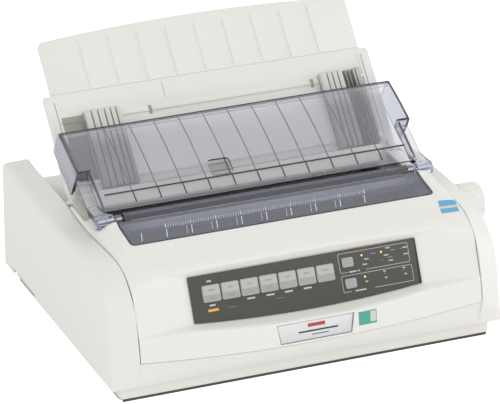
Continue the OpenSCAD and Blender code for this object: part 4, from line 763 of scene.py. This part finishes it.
# from the plate's lower edge
onPlate = sloping(plate["y"], plate["low"], 90 - plate["lean"], plate["x"], plate["thick"])


def plateOutline(gap):
    low, top, tall = plate["halfLow"] + gap, plate["halfTop"] + gap, plate["top"] - plate["low"]
    return [(-low, -gap), (low, -gap), (top, tall + gap), (-top, tall + gap)]


lever = {"x": -166.0, "slot": 9.6, "y": -6, "drop": 16}
barrel = {"inner": 156.0, "recess": 14.5}
shell = coverSolid("upperCoverShell", 0, 0)
opening = roundedBox((-window["half"], window["frontY"] - window["gap"]), (window["half"], 60),
                     window["corner"])
hingeLine = (hinge["y"], hinge["z"])
pocket = [[onPlate(x, v, n) for x, v in plateOutline(plate["pocket"])] for n in (-1.7, 9)]
tools = [coverSolid("tool", wall, 40), prismZ("tool", opening, (90, far)),
         boxSolid("tool", (-window["behindHalf"], window["behindHalf"]), (hinge["y"] + window["behind"], far),
                  (0, far)),
         boxSolid("tool", around(lever["x"], lever["slot"]), (lever["y"], far),
                  (caseHeight - lever["drop"], far)),
         rodX("tool", (barrel["inner"] - 1, coverHalf + 1), hingeLine, barrel["recess"]),
         rodX("tool", (-coverHalf - 1, 1 - barrel["inner"]), hingeLine, barrel["recess"]),
         boxSolid("tool", (coverHalf - 2 * wall, far), around(platenY, shaft["hole"]), (0, shaft["z"])),
         ringSolid("tool", pocket)]
stand(cut(shell, *tools), "upper_cover")

# the beam that carries the window's hinge, its ears and its lugs on the cheeks
beam = {"half": 159, "ys": (hinge["y"] - 9, hinge["y"] + 5), "low": hinge["z"] - 17, "high": hinge["z"] - 10,
        "lugLap": 2, "lugFoot": caseHeight - 24}
ear = {"near": 147, "far": 153, "round": 4.5, "foot": 5.5}
earOutline = [(hinge["y"] - ear["foot"], beam["low"]), (hinge["y"] + ear["round"], beam["low"]),
              *arcPoints(hingeLine, ear["round"], 0, 180, 12)]
beamSolid = boxSolid("coverBeam", (-beam["half"], beam["half"]), beam["ys"], (beam["low"], beam["high"]))
stand(softenEdges(beamSolid, 0.6), "upper_cover")
for side, name in ((-1, "left"), (1, "right")):
    earXs = mirrored(side, ear["near"], ear["far"])
    earSolid = prismX(name + "HingeEar", earOutline, earXs, "clearPolycarbonate")
    stand(softenEdges(earSolid, 0.4), "upper_cover", slot="tinted_clear")
    lugXs = mirrored(side, beam["half"] - beam["lugLap"], coverHalf - wall)
    lug = boxSolid(name + "RailLug", lugXs, beam["ys"], (beam["lugFoot"], beam["low"]))
    stand(lug, "upper_cover")
print("upper cover built")


# details of the panel, the plate and the covers
def roundedFrame(low, high, radius, line, gap):
    # a printed line round a field, left open along its lower edge between two places
    outer = roundedBox(low, high, radius)
    inner = roundedBox([c + line for c in low], [c - line for c in high], radius - line)
    pieces = []
    for k in range(len(outer)):
        j = (k + 1) % len(outer)
        if max(outer[k][1], outer[j][1]) < low[1] + 0.01:
            start, end = sorted((outer[k][0], outer[j][0]))
            pieces += [quad(start, gap[0], low[1], low[1] + line), quad(gap[1], end, low[1], low[1] + line)]
        else:
            pieces.append([outer[k], outer[j], inner[j], inner[k]])
    return pieces


def printedPiece(name, shapes, heights, onFace, finish):
    # flat shapes on a face, from one height over it to another
    solids = [[[onFace(x, v, n) for x, v in shape] for n in heights] for shape in shapes]
    return closedSolids(name, solids, finish)


def bars(places, wide, high):
    return [quad(*around(x, wide), *around(v, high)) for x, v in places]


def dressNode(name, width):
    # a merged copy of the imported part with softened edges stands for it
    piece = linked(name + "Shaped", nodes[name].data.copy())
    tidyMesh(piece.data, outward=False, flatten=True)
    return stand(softenEdges(piece, width), name)


softened = {
    "rear_cover": 0.8, "sheet_guide": 0.6, "paper_support": 0.6, "platen_knob": 0.6, "paper_lever": 0.8,
    "power_switch": 0.6, "rubber_feet": 0.5, "ribbon_cartridge": 0.6, "ribbon_knob": 0.4, "carriage": 0.3,
    "print_head": 0.2, "left_tractor": 0.3, "right_tractor": 0.3, "left_tractor_door": 0.3,
    "right_tractor_door": 0.3, "base_plate": 0.4, "power_inlet": 0.3, "interface_ports": 0.25,
    "carriage_motor": 0.4, "line_feed_motor": 0.4, "platen_gear": 0.15, "nameplate": 0.25, "case_screws": 0.2,
}
softened.update({"panel_key_%d" % (k + 1): 0.5 for k in range(7)})
softened.update({"small_key_%d" % (k + 1): 0.4 for k in range(2)})
for name, width in softened.items():
    dressNode(name, width)
print("small parts softened")

# the film over the panel, its lower edge bowed
filmHalf, filmCut = panel["wide"] / 2, 0.6
filmLine = [(-filmHalf, -filmCut), (filmCut - filmHalf, 0), (filmHalf - filmCut, 0), (filmHalf, -filmCut)]
for k in range(41):
    x = filmHalf * (1 - k / 20)
    filmLine.append((x, -panel["high"] - panelArch(x)))
film = printedPiece("panelFilm", [filmLine], (-panel["thick"], 0), onPanel, "printedFilm")
stand(softenEdges(film, 0.25), "control_panel")

# panel print: fields, captions and ticks as plain bars, each row with its bars' width and height
ink = {"heights": (0.01, 0.06), "line": 0.45, "corner": 1.6}
panelPrint = (roundedFrame((35.2, -21.5), (107.2, -2.8), ink["corner"], ink["line"], (43.0, 61.5))
              + roundedFrame((35.5, -39.8), (108.0, -24.0), ink["corner"], ink["line"], (43.5, 67.5)))
for places, wide, high in (
        ([(49.8, -21.3), (53.0, -39.6)], 11, 1.3),
        ([(52.4, -21.3)], 3, 1.3),
        ([(-95.2, -6.6)], 4.6, 1.7),
        ([(-95.3, -29.1)], 6.0, 1.7),
        ([(-56.6, -28.9), (-37.2, -28.9), (-18.6, -28.9), (0.6, -28.9)], 8.0, 1.6),
        ([(63.6, -11.8), (61.2, -16.6), (84.0, -11.4), (86.5, -5.0), (104.0, -7.2), (88.0, -17.0),
          (104.0, -13.4)], 4.6, 1.1),
        ([(60.2, -32.6), (80.2, -32.2), (100.6, -32.0), (79.6, -25.9), (99.6, -25.9)], 2.6, 1.2),
        ([(71.5, -7.7), (91.5, -7.7), (87.5, -13.9)], 5.0, 0.35)):
    panelPrint += bars(places, wide, high)
# painted shadow: a dark strip along the panel's right edge, where the field's right flank shades it
sideShade = [(112.6, -42.6), (115.3, -42.6), (115.3, -0.8), (114.2, -0.8)]
for name, shapes, finish in (("panelPrint", panelPrint, "paleInk"),
                             ("panelPowerMark", bars([(-95.2, -33.7)], 10.4, 2.4), "amberInk"),
                             ("panelDimMarks", bars([(-76.0, -33.8), (-28.6, -33.6)], 8.0, 1.0), "dimInk"),
                             ("panelSideShade", [sideShade], "shadeInk")):
    addTo(printedPiece(name, shapes, ink["heights"], onPanel, finish), "case")

# key faces: a paler upper field with a step under it, and plain captions, the lower one on four keys
key = {"left": -103.8, "pitch": 19.17, "top": -10.0, "wide": 17.8, "proud": 1.6, "inset": 0.7, "step": 9.3,
       "corner": 1.3, "caption": (6.4, 1.2), "captionAt": 5.0, "shorter": 0.5, "lower": (7.0, 1.2),
       "lowerAt": 12.6, "lowerCaptions": 4}
for k in range(7):
    body = bodyOf["panel_key_%d" % (k + 1)]
    x0 = key["left"] + key["pitch"] * k
    x1 = x0 + key["wide"]
    face = roundedBox((x0 + key["inset"], key["top"] - key["step"]),
                      (x1 - key["inset"], key["top"] - key["inset"]), key["corner"])
    wide, high = key["caption"]
    caption = bars([((x0 + x1) / 2, key["top"] - key["captionAt"])], wide - key["shorter"] * (k % 3), high)
    lowerCaption = bars([((x0 + x1) / 2, key["top"] - key["lowerAt"])], *key["lower"])
    rows = [("keyField_%d", [face], (-0.1, 0.3), "keyPale"),
            ("keyCaption_%d", caption, (0.29, 0.34), "captionInk")]
    if k < key["lowerCaptions"]:
        rows.append(("keyLowerCaption_%d", lowerCaption, (-0.01, 0.04), "captionInk"))
    for name, shapes, heights, finish in rows:
        heights = [key["proud"] + n for n in heights]
        addTo(printedPiece(name % (k + 1), shapes, heights, onPanel, finish), body)
print("panel printed")

# the bare plate's border and plain bars
corners = plateOutline(0)
inner = [(x * plate["innerWide"], v * plate["innerHigh"] + plate["innerFoot"]) for x, v in corners]
border = [[corners[k], corners[(k + 1) % 4], inner[(k + 1) % 4], inner[k]] for k in range(4)]
darkBars = bars([(2.5, 8.3)], 40, 1.6) + bars([(4.2, 4.6)], 17, 0.8)
for name, shapes, finish in (("plateBorder", border, "borderInk"),
                             ("plateRedBar", bars([(0.8, 14.0)], 17.5, 3.4), "redInk"),
                             ("plateDarkBars", darkBars, "blackInk")):
    addTo(printedPiece(name, shapes, (0.0, 0.06), onPlate, finish), "case")


def coverAt(x, value, lift, upright):
    # the point of the cover's skin at x and at a height (upright) or a depth (on top)
    line = [(y, z) for _, y, z in coverRing(x, 0, 0)[:-1]]
    for a, b in zip(line, line[1:]):
        start, end = (a[1], b[1]) if upright else (a[0], b[0])
        if start <= value < end and (upright or a[1] > caseHeight - 30):
            y, z = mixed(a, b, (value - start) / (end - start))
            length = math.dist(a, b)
            return x, y - lift * (b[1] - a[1]) / length, z + lift * (b[0] - a[0]) / length
    return x, *line[-1]


def labelOnCover(name, xs, span, finish, upright, lean=0.0, lifts=(0.02, 0.14), steps=8):
    # a thin label bent over the cover, bounded in x and in height (upright) or in depth (on top)
    wide, high = xs[1] - xs[0], span[1] - span[0]
    rings = []
    for i in range(steps + 1):
        spots = [(xs[0] + (wide * i + lean * j) / steps, span[0] + high * j / steps)
                 for j in range(steps + 1)]
        rings.append([coverAt(x, value, lifts[0], upright) for x, value in spots]
                     + [coverAt(x, value, lifts[1], upright) for x, value in reversed(spots)])
    addTo(ringSolid(name, rings, finish), "case")


onLabel = (0.12, 0.2)
labels = {
    "greenLabel": {"xs": (42.2, 60.7), "span": (47.2, 60.2), "finish": "greenInk", "upright": True},
    "greenLabelBand": {"xs": (54.2, 60.1), "span": (49.2, 59.2), "finish": "whiteInk", "upright": True,
                       "lifts": onLabel},
    "blueLabel": {"xs": (151.0, 169.2), "span": (-112.5, -96.3), "finish": "blueInk", "upright": False,
                  "lean": 3.2},
    "blueLabelBand": {"xs": (152.6, 170.8), "span": (-106.2, -103.2), "finish": "whiteInk", "upright": False,
                      "lean": 0.6, "lifts": onLabel},
}
for name, label in labels.items():
    labelOnCover(name, **label)
print("labels laid")

# the ribbed paper guides and the rails of the sheet guide
guide = {"y": 37.0, "z": caseHeight - 1, "tilt": 46.9, "face": 2.6, "ends": (6.0, 86.0), "base": 3.9,
         "floor": 5.5, "proud": 11.9, "slit": 1.3, "shadedLands": 4, "edge": 0.35, "left": "greyPolystyrene",
         "right": "shadedPolystyrene"}
onGuide = sloping(guide["y"], guide["z"], guide["tilt"])
lands = {
    "left": [(-136, -129.4), (-129.4, -122.8), (-122.8, -115.9), (-115.9, -109.9), (-109.9, -104.4),
             (-104.4, -100)],
    "right": [(110, 117), (117, 122.4), (122.4, 128.1), (128.1, 133.8), (136.2, 137.8), (140.2, 141.8),
              (144.2, 147), (147, 152)],
}
for side, spans in lands.items():
    node, half = side + "_paper_guide", guide["slit"] / 2
    base = printedPiece(side + "GuideBase", [quad(spans[0][0], spans[-1][1], *guide["ends"])],
                        (guide["base"], guide["floor"]), onGuide, "slitPolystyrene")
    stand(base, node)
    # a slit between neighbours, none at the outer edges
    ribs = [quad(a + (half if k else 0), b - (half if k < len(spans) - 1 else 0), *guide["ends"])
            for k, (a, b) in enumerate(spans)]
    # the last lands take the side's finish, which on the right is a painted shade
    for name, shapes, finish in (("Ribs", ribs[:-guide["shadedLands"]], "greyPolystyrene"),
                                 ("Grips", ribs[-guide["shadedLands"]:], guide[side])):
        heights = (guide["floor"] - 0.02, guide["proud"])
        ribbed = printedPiece(side + "Guide" + name, shapes, heights, onGuide, finish)
        stand(softenEdges(ribbed, guide["edge"]), node)
# painted shade: flat grey patches and a rim on the sheet guide stand in for the shaded recess left of the
# left guide, and small blocks behind the hook slots stand in for their shade; the seams are dark joints
track = (-158.3, -136.6)
for name, shapes, n0, n1, finish in (
        ("guideTrack", [quad(*track, 64, 77.9), quad(*track, 81.1, 84.5)], 0.01, 0.5, "trackPlastic"),
        ("guideTrackFloor", [quad(*track, 17.1, 64)], 0.01, 0.5, "trackShade"),
        ("guideTrackRim", [quad(*track, 77.9, 81.1)], 0.98, 1.05, "trackPlastic"),
        ("railSeams", [quad(-160.9, -160.3, 62, 101), quad(160.3, 160.9, 15, 101)], 0.805, 0.83,
         "slitPlastic"),
        ("guideSeam", [quad(-48.9, -48.5, 89, 106)], 0.005, 0.03, "slitPlastic"),
        ("guideHooks", [quad(x, x + 2.9, 75.4, 83.6) for x in (-68.7, 101.3)], -1.5, -0.2, "trackPlastic")):
    addTo(printedPiece(name, shapes, (guide["face"] + n0, guide["face"] + n1), onGuide, finish), "guide")
print("paper guides ribbed")

# the faint crease low on each cheek: y and z of its ends
crease = {"from": (-118.0, 20.5), "to": (118.0, 48.5), "wide": 0.5, "in": 0.1, "out": 0.02}
(y0, z0), (y1, z1) = crease["from"], crease["to"]
creaseOutline = [(y0, z0), (y1, z1), (y1, z1 + crease["wide"]), (y0, z0 + crease["wide"])]
for side, name in ((-1, "leftCrease"), (1, "rightCrease")):
    xs = mirrored(side, case["half"] - crease["in"], case["half"] + crease["out"])
    addTo(prismX(name, creaseOutline, xs, "satinAbs"), "case")

# the smoked mouldings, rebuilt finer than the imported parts: each is one closed body with dark narrow edges.
# The cover's panel is bent about an x axis; shares run along it from its foot at the hinge to its head.
smoke = {"foot": (hinge["y"] + 7.5, hinge["z"] + 6.2), "head": (60.3, hinge["z"] + 50.9), "radius": 400.0,
         "thick": 2.0, "panelHalf": 160.7, "wing": coverHalf - 1, "wingTail": (117.4, 25.5),
         "wingFoot": (68.4, 0.7), "notch": 0.47, "armFrom": 0.08, "armWallFrom": 0.04, "armDrop": 10.0,
         "webAt": 0.14, "lap": 0.02, "lip": (0.972, 0.984), "lipDeep": 4, "rimAt": 0.987, "barrel": 13.0,
         "bore": 3.1, "creased": 20}
panelHalf, wingX, notch = smoke["panelHalf"], smoke["wing"], smoke["notch"]
armDrop, thick = smoke["armDrop"], smoke["thick"]
(footY, footZ), (headY, headZ) = smoke["foot"], smoke["head"]
chordLength = math.dist(smoke["foot"], smoke["head"])
chordTurn = math.atan2(headZ - footZ, headY - footY)
inward = math.sqrt(smoke["radius"] ** 2 - chordLength ** 2 / 4)  # from the chord to the centre of the bend
bendY = (footY + headY) / 2 + inward * math.sin(chordTurn)
bendZ = (footZ + headZ) / 2 - inward * math.cos(chordTurn)
halfBend = math.asin(chordLength / 2 / smoke["radius"])
acrossX, upright = Vector((1, 0, 0)), Vector((0, 0, 1))
sheetNormal = Vector((0, -math.sin(chordTurn), math.cos(chordTurn)))
sheetAlong = Vector((0, math.cos(chordTurn), math.sin(chordTurn)))


def bend(s, t):
    # a point at the share s along the bent panel, t under its outer face
    a, radius = chordTurn + math.pi / 2 + halfBend * (1 - 2 * s), smoke["radius"] - t
    return bendY + radius * math.cos(a), bendZ + radius * math.sin(a)


def strip(s0, s1, t0, t1, steps=20):
    shares = [s0 + (s1 - s0) * k / steps for k in range(steps + 1)]
    return [bend(s, t0) for s in shares] + [bend(s, t1) for s in reversed(shares)]


def smokedSolid(rings, thinAxis=None):
    # where a thin axis is given, the faces that look away from it are narrow, and dark
    piece = ringSolid("smokedPart", rings, "smokedPolycarbonate")
    piece.data.materials.append(made["smokedEdge"])
    for face in piece.data.polygons:
        face.material_index = int(thinAxis is not None and abs(face.normal.dot(thinAxis)) < 0.5)
    return piece


def smokedPart(outline, xs, thinAxis):
    return smokedSolid(ringsX(outline, xs), thinAxis)


def combine(name, piece, joined, cutters, kept=()):
    # the piece with others joined to it and cutters taken away, as far as it lies inside what is kept
    piece.name = name
    steps = [("UNION", joined), ("DIFFERENCE", cutters), ("INTERSECT", kept)]
    steps = [(operation, tool) for operation, tools in steps for tool in tools]
    for operation, tool in steps:
        if len(tool.data.materials) < 2:
            tool.data.materials[0] = made["smokedPolycarbonate"]
            tool.data.materials.append(made["smokedEdge"])
            for face in tool.data.polygons:
                face.material_index = 1
        addBoolean(piece, operation, tool)
    bake(piece, smoke["creased"])
    for _, tool in steps:
        bpy.data.objects.remove(tool)
    tidyMesh(piece.data, outward=False)
    smoothMesh(piece.data, smoke["creased"])
    return piece


# the notched panel between its wings, with an arm down to a barrel at each side
wingOutline = [bend(notch + (1 - notch) * k / 16, 0) for k in range(17)]
tail, wingFoot = [(hinge["y"] + y, hinge["z"] + z) for y, z in (smoke["wingTail"], smoke["wingFoot"])]
web = [(hinge["y"], hinge["z"] + 5.5), bend(smoke["webAt"], armDrop), bend(smoke["webAt"], armDrop + thick),
       (hinge["y"] + 3, hinge["z"] - 3)]
joined = [smokedPart(strip(notch, smoke["rimAt"], 0, thick), (-wingX, wingX), sheetNormal)]
recesses, barrels = [], []
for side, name in ((-1, "leftHingeBarrel"), (1, "rightHingeBarrel")):
    armXs = mirrored(side, panelHalf - thick, wingX)
    joined += [
        smokedPart(wingOutline + [tail, wingFoot], mirrored(side, wingX - thick, wingX), acrossX),
        smokedPart(strip(smoke["armFrom"], notch + smoke["lap"], armDrop, armDrop + thick),
                   mirrored(side, panelHalf - 0.1, wingX), sheetNormal),
        smokedPart(strip(smoke["armWallFrom"], notch + smoke["lap"], 0.5, armDrop + thick),
                   mirrored(side, panelHalf - thick, panelHalf), acrossX),
        smokedPart(strip(notch, notch + smoke["lap"], 0, armDrop + thick, 4), armXs, sheetAlong),
        smokedPart(web, armXs, sheetNormal)]
    ends = mirrored(side, barrel["inner"], wingX)
    longer = (ends[0] - 1, ends[1] + 1)
    recesses.append(rodX("tool", longer, hingeLine, smoke["barrel"] + 0.1))
    bore = rodX("tool", longer, hingeLine, smoke["bore"])
    rod = rodX(name, ends, hingeLine, smoke["barrel"], "clearPolycarbonate")
    barrels.append(softenEdges(cut(rod, bore), 0.8))
finger = {"xs": (-44.0, -22.0), "from": 0.2, "to": 0.38, "round": 3.5, "deep": 8}
low, high = bend(finger["from"], 0), bend(finger["to"], 0)
onFinger = sloping(*low, math.degrees(math.atan2(high[1] - low[1], high[0] - low[0])))
fingerOutline = roundedBox((finger["xs"][0], 0), (finger["xs"][1], math.dist(low, high)), finger["round"])
fingerHole = printedPiece("tool", [fingerOutline], (-finger["deep"], finger["deep"]), onFinger, "smokedEdge")
sheetPart = smokedPart(strip(0, smoke["rimAt"], 0, thick, 30), (-panelHalf, panelHalf), sheetNormal)
stand(combine("smokedCover", sheetPart, joined, recesses + [fingerHole]), "acoustic_cover")
lipX = wingX - thick - 0.1
lipStrip = strip(*smoke["lip"], thick + 0.02, thick + smoke["lipDeep"], 4)
lip = smokedPart(lipStrip, (-lipX, lipX), sheetAlong)
lip.name = "coverLip"
stand(lip, "acoustic_cover")
# painted shade: a dark tinted strip inside the left wing only darkens it, where the right wing stays light
wingShade = {"wide": 2.4, "gap": 0.05, "from": 0.03, "to": 0.99, "under": 1.5}
wingShadeOutline = [bend(notch + wingShade["from"] + (wingShade["to"] - wingShade["from"] - notch) * k / 16, wingShade["under"])
                for k in range(17)] + [(tail[0] - 2, tail[1] + 1.5), (wingFoot[0] + 1, wingFoot[1] + 2)]
wingShadeX = thick + wingShade["gap"] - wingX
leftWingShadePiece = prismX("leftWingShade", wingShadeOutline, (wingShadeX, wingShadeX + wingShade["wide"]), "shadeTintedPolycarbonate")
stand(leftWingShadePiece, "acoustic_cover")
for piece in barrels:
    stand(piece, "acoustic_cover")
rimX = wingX - thick - 0.2
rimOutline = strip(smoke["rimAt"] + 0.0005, 1, 0, thick, 2)
stand(prismX("coverRim", rimOutline, (-rimX, rimX), "smokedEdge"), "acoustic_cover")

# ribs under the panel, a moulded line across it and short ones below that
moulded = {"count": 11, "pitch": 25.3, "rib": 0.7, "ribSpan": (0.2, 0.985), "ribDeep": 1.3, "stub": 1.2,
           "stubSpan": (0.055, 0.175), "shelfHalf": 154.8, "shelfSpan": (0.172, 0.188), "proud": (-0.2, 0.05)}
ribXs = [(k - (moulded["count"] - 1) / 2) * moulded["pitch"] for k in range(moulded["count"])]
ribOutline = strip(*moulded["ribSpan"], thick + 0.02, thick + moulded["ribDeep"])
stubOutline = strip(*moulded["stubSpan"], *moulded["proud"], 4)
shelfOutline = strip(*moulded["shelfSpan"], *moulded["proud"], 2)
for name, outline, spans in (("coverRibs", ribOutline, [around(x, moulded["rib"]) for x in ribXs]),
                             ("coverStubs", stubOutline, [around(x, moulded["stub"]) for x in ribXs]),
                             ("coverShelf", shelfOutline, [(-moulded["shelfHalf"], moulded["shelfHalf"])])):
    stand(closedSolids(name, [ringsX(outline, xs) for xs in spans], "smokedEdge"), "acoustic_cover")

# the access window: a bent plate with round front corners, leaning side walls, a lip and two knuckles
pane = {"half": window["half"] - window["gap"], "front": (window["frontY"], caseHeight + 4.8),
        "middle": (hinge["y"] - 15.6, hinge["z"] - 1.1), "rear": (hinge["y"] - 7.2, hinge["z"] + 0.9),
        "lip": [(-4.2, 4.6), (-0.5, 6.3), (-0.5, 4.5), (-3.2, 3.2)], "lipHalf": 146, "wallLean": 9,
        "wallDeep": 12, "knuckle": 7, "knuckleRound": 4.5, "line": 1.5}
front, middle, rearEdge = pane["front"], pane["middle"], pane["rear"]
rearUnder = (rearEdge[0], rearEdge[1] - thick)
paneOutline = [front, middle, rearEdge, rearUnder, (middle[0], middle[1] - thick),
               (front[0] + 1, front[1] - thick)]
lipOutline = [rearEdge] + [(hinge["y"] + y, hinge["z"] + z) for y, z in pane["lip"]]
joined = [smokedPart(lipOutline + [rearUnder], (-pane["lipHalf"], pane["lipHalf"]), Vector((0, -0.5, 0.86)))]
knuckle = [(hinge["y"], hinge["z"] + 3), rearEdge, rearUnder, (hinge["y"], hinge["z"] - 3)]
eye = arcPoints(hingeLine, pane["knuckleRound"], 0, 350, 35)
for side in (-1, 1):
    wallRings = []
    for x in (pane["half"] - 2, pane["half"]):
        top, foot = side * x, side * (x - pane["wallLean"])
        wallRings.append([(top, front[0] + 1, front[1] - 1), (top, middle[0], middle[1] - 1),
                          (foot, middle[0], middle[1] - pane["wallDeep"]),
                          (foot, front[0] + 8, front[1] - 9)])
    ends = mirrored(side, pane["lipHalf"] - pane["knuckle"], pane["lipHalf"])
    joined += [smokedSolid(wallRings), smokedPart(knuckle, ends, acrossX), smokedPart(eye, ends, acrossX)]


def paneShape(inset):
    # everything inside the window's outline, which is open at the rear
    half = pane["half"] - inset
    outline = roundedBox((-half, window["frontY"] + inset), (half, 60), window["corner"] - inset, 8)
    return prismZ("tool", outline, (90, 200))


# painted shade: the pane takes the denser tint that stands in for the dark mechanism under it
plateSolid = smokedPart(paneOutline, (-pane["half"], pane["half"]), upright)
plateSolid.data.materials[0] = made["shadeTintedPolycarbonate"]
pinHole = rodX("tool", (-160, 160), hingeLine, smoke["bore"])
smokedWindow = combine("smokedWindow", plateSolid, joined, [pinHole], [paneShape(0)])
# painted shadow: a dark strip along the window's lip stands in for the shadowed gap under the cover's shelf
lipShadow = [mixed(lipOutline[0], lipOutline[1], 0.1), lipOutline[1]]
lipShadow += [(y - 0.4, z + 0.2) for y, z in reversed(lipShadow)]
stand(prismX("windowLipShadow", lipShadow, (-pane["lipHalf"], pane["lipHalf"]), "smokedEdge"), "access_window")
# its outer line is a piece of its own, dark all through: the dark edge of the tinted pane, and painted shadow
# of the gap round it
edging = linked("windowEdging", smokedWindow.data.copy())
edging.data.materials.clear()
edging.data.materials.append(made["smokedEdge"])
for piece, operation in ((smokedWindow, "INTERSECT"), (edging, "DIFFERENCE")):
    tool = paneShape(pane["line"])
    addBoolean(piece, operation, tool)
    bake(piece, smoke["creased"])
    bpy.data.objects.remove(tool)
    stand(piece, "access_window")
print("smoked covers moulded")

# rows of equal small things grow from one node tree each
rowShapes = {
    "bar": ("GeometryNodeMeshCube", {"Size": (1, 1, 1)}),
    "dome": ("GeometryNodeMeshUVSphere", {"Segments": 18, "Rings": 10, "Radius": 0.5}),
}


def rowTree(shape, finish):
    tree = bpy.data.node_groups.new(shape + "Row", "GeometryNodeTree")
    tree.interface.new_socket("Geometry", in_out="OUTPUT", socket_type="NodeSocketGeometry")
    tree.interface.new_socket("Count", in_out="INPUT", socket_type="NodeSocketInt")
    for name in ("First", "Step", "Size", "Turn"):
        tree.interface.new_socket(name, in_out="INPUT", socket_type="NodeSocketVector")
    given = addNode(tree, "NodeGroupInput").outputs
    solid = addNode(tree, *rowShapes[shape])
    line = addNode(tree, "GeometryNodeMeshLine", {}, {
        "Count": given["Count"], "Start Location": given["First"], "Offset": given["Step"]})
    copies = addNode(tree, "GeometryNodeInstanceOnPoints", {}, {
        "Points": line.outputs[0], "Instance": solid.outputs[0], "Rotation": given["Turn"],
        "Scale": given["Size"]})
    real = addNode(tree, "GeometryNodeRealizeInstances", {}, {0: copies.outputs[0]})
    painted = addNode(tree, "GeometryNodeSetMaterial", {"Material": made[finish]},
                      {"Geometry": real.outputs[0]})
    addNode(tree, "NodeGroupOutput", {}, {"Geometry": painted.outputs[0]})
    return tree


def row(name, shape, finish, count, first, pitch, size, turn, body):
    # first in case millimetres, pitch along x and size in millimetres, turn in degrees
    piece = linked(name, bpy.data.meshes.new(name))
    grow = piece.modifiers.new("row", "NODES")
    grow.node_group = rowTree(shape, finish)
    values = {"Count": count, "First": tuple(place(*first)), "Step": (pitch / 1000, 0, 0),
              "Size": tuple(v / 1000 for v in size), "Turn": tuple(math.radians(v) for v in turn)}
    for socket in grow.node_group.interface.items_tree:
        if socket.in_out == "INPUT":
            grow[socket.identifier] = values[socket.name]
    return addTo(bake(piece), body)


# indicator lenses: how many in the row, and the first one's place on the panel
lens = {"pitch": 20, "sunk": 0.1, "lit": (1.7, 1.7, 1.4), "resting": (1.5, 1.5, 1.0)}
for name, state, count, x, v in (("litLampsUpper", "lit", 2, 59.3, -7.7),
                                 ("litLampLower", "lit", 1, 59.3, -28.0),
                                 ("restingLampUpper", "resting", 1, 99.3, -7.7),
                                 ("restingLampsLower", "resting", 2, 79.3, -28.0),
                                 ("restingLampsMiddle", "resting", 2, 59.3, -15.5)):
    domes = row(name, "dome", state + "Lamp", count, onPanel(x, v, -lens["sunk"]), lens["pitch"], lens[state],
                (panel["tilt"], 0, 0), "case")
    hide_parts("panel_lamps")

# the window's marks: a ruler with ten to the inch, a longer one at each inch, and before it two rows of
# painted glints, the reflections of the cover's ribs in the window
ruler = {"x": -112.0, "y": -65.4, "pitch": 2.54, "inches": 8, "lean": 9.91, "slant": -17, "frontZ": 129.8,
         "frontY": -86.9}
markRows = {
    "rulerMarks": {"count": 10 * ruler["inches"] + 1, "x": ruler["x"], "y": ruler["y"], "lift": 0.12,
                   "pitch": ruler["pitch"], "size": (0.5, 5.2, 0.16)},
    "rulerInchMarks": {"count": ruler["inches"] + 1, "x": ruler["x"], "y": ruler["y"] + 1.2, "lift": 0.13,
                       "pitch": 10 * ruler["pitch"], "size": (0.6, 6.4, 0.16)},
    "windowRibs": {"count": 10, "x": -140.0, "y": -76.0, "lift": 0.1, "pitch": 25.2,
                   "size": (0.8, 13.0, 0.1)},
    "windowRibPairs": {"count": 7, "x": -94.6, "y": -76.0, "lift": 0.1, "pitch": 25.2,
                       "size": (0.4, 13.0, 0.1)},
}
rise = math.tan(math.radians(ruler["lean"]))
for name, marks in markRows.items():
    z = ruler["frontZ"] + (marks["y"] - ruler["frontY"]) * rise + marks["lift"]
    row(name, "bar", "etchedMark", marks["count"], (marks["x"], marks["y"], z), marks["pitch"], marks["size"],
        (ruler["lean"], 0, ruler["slant"]), "window")
print("rows grown")
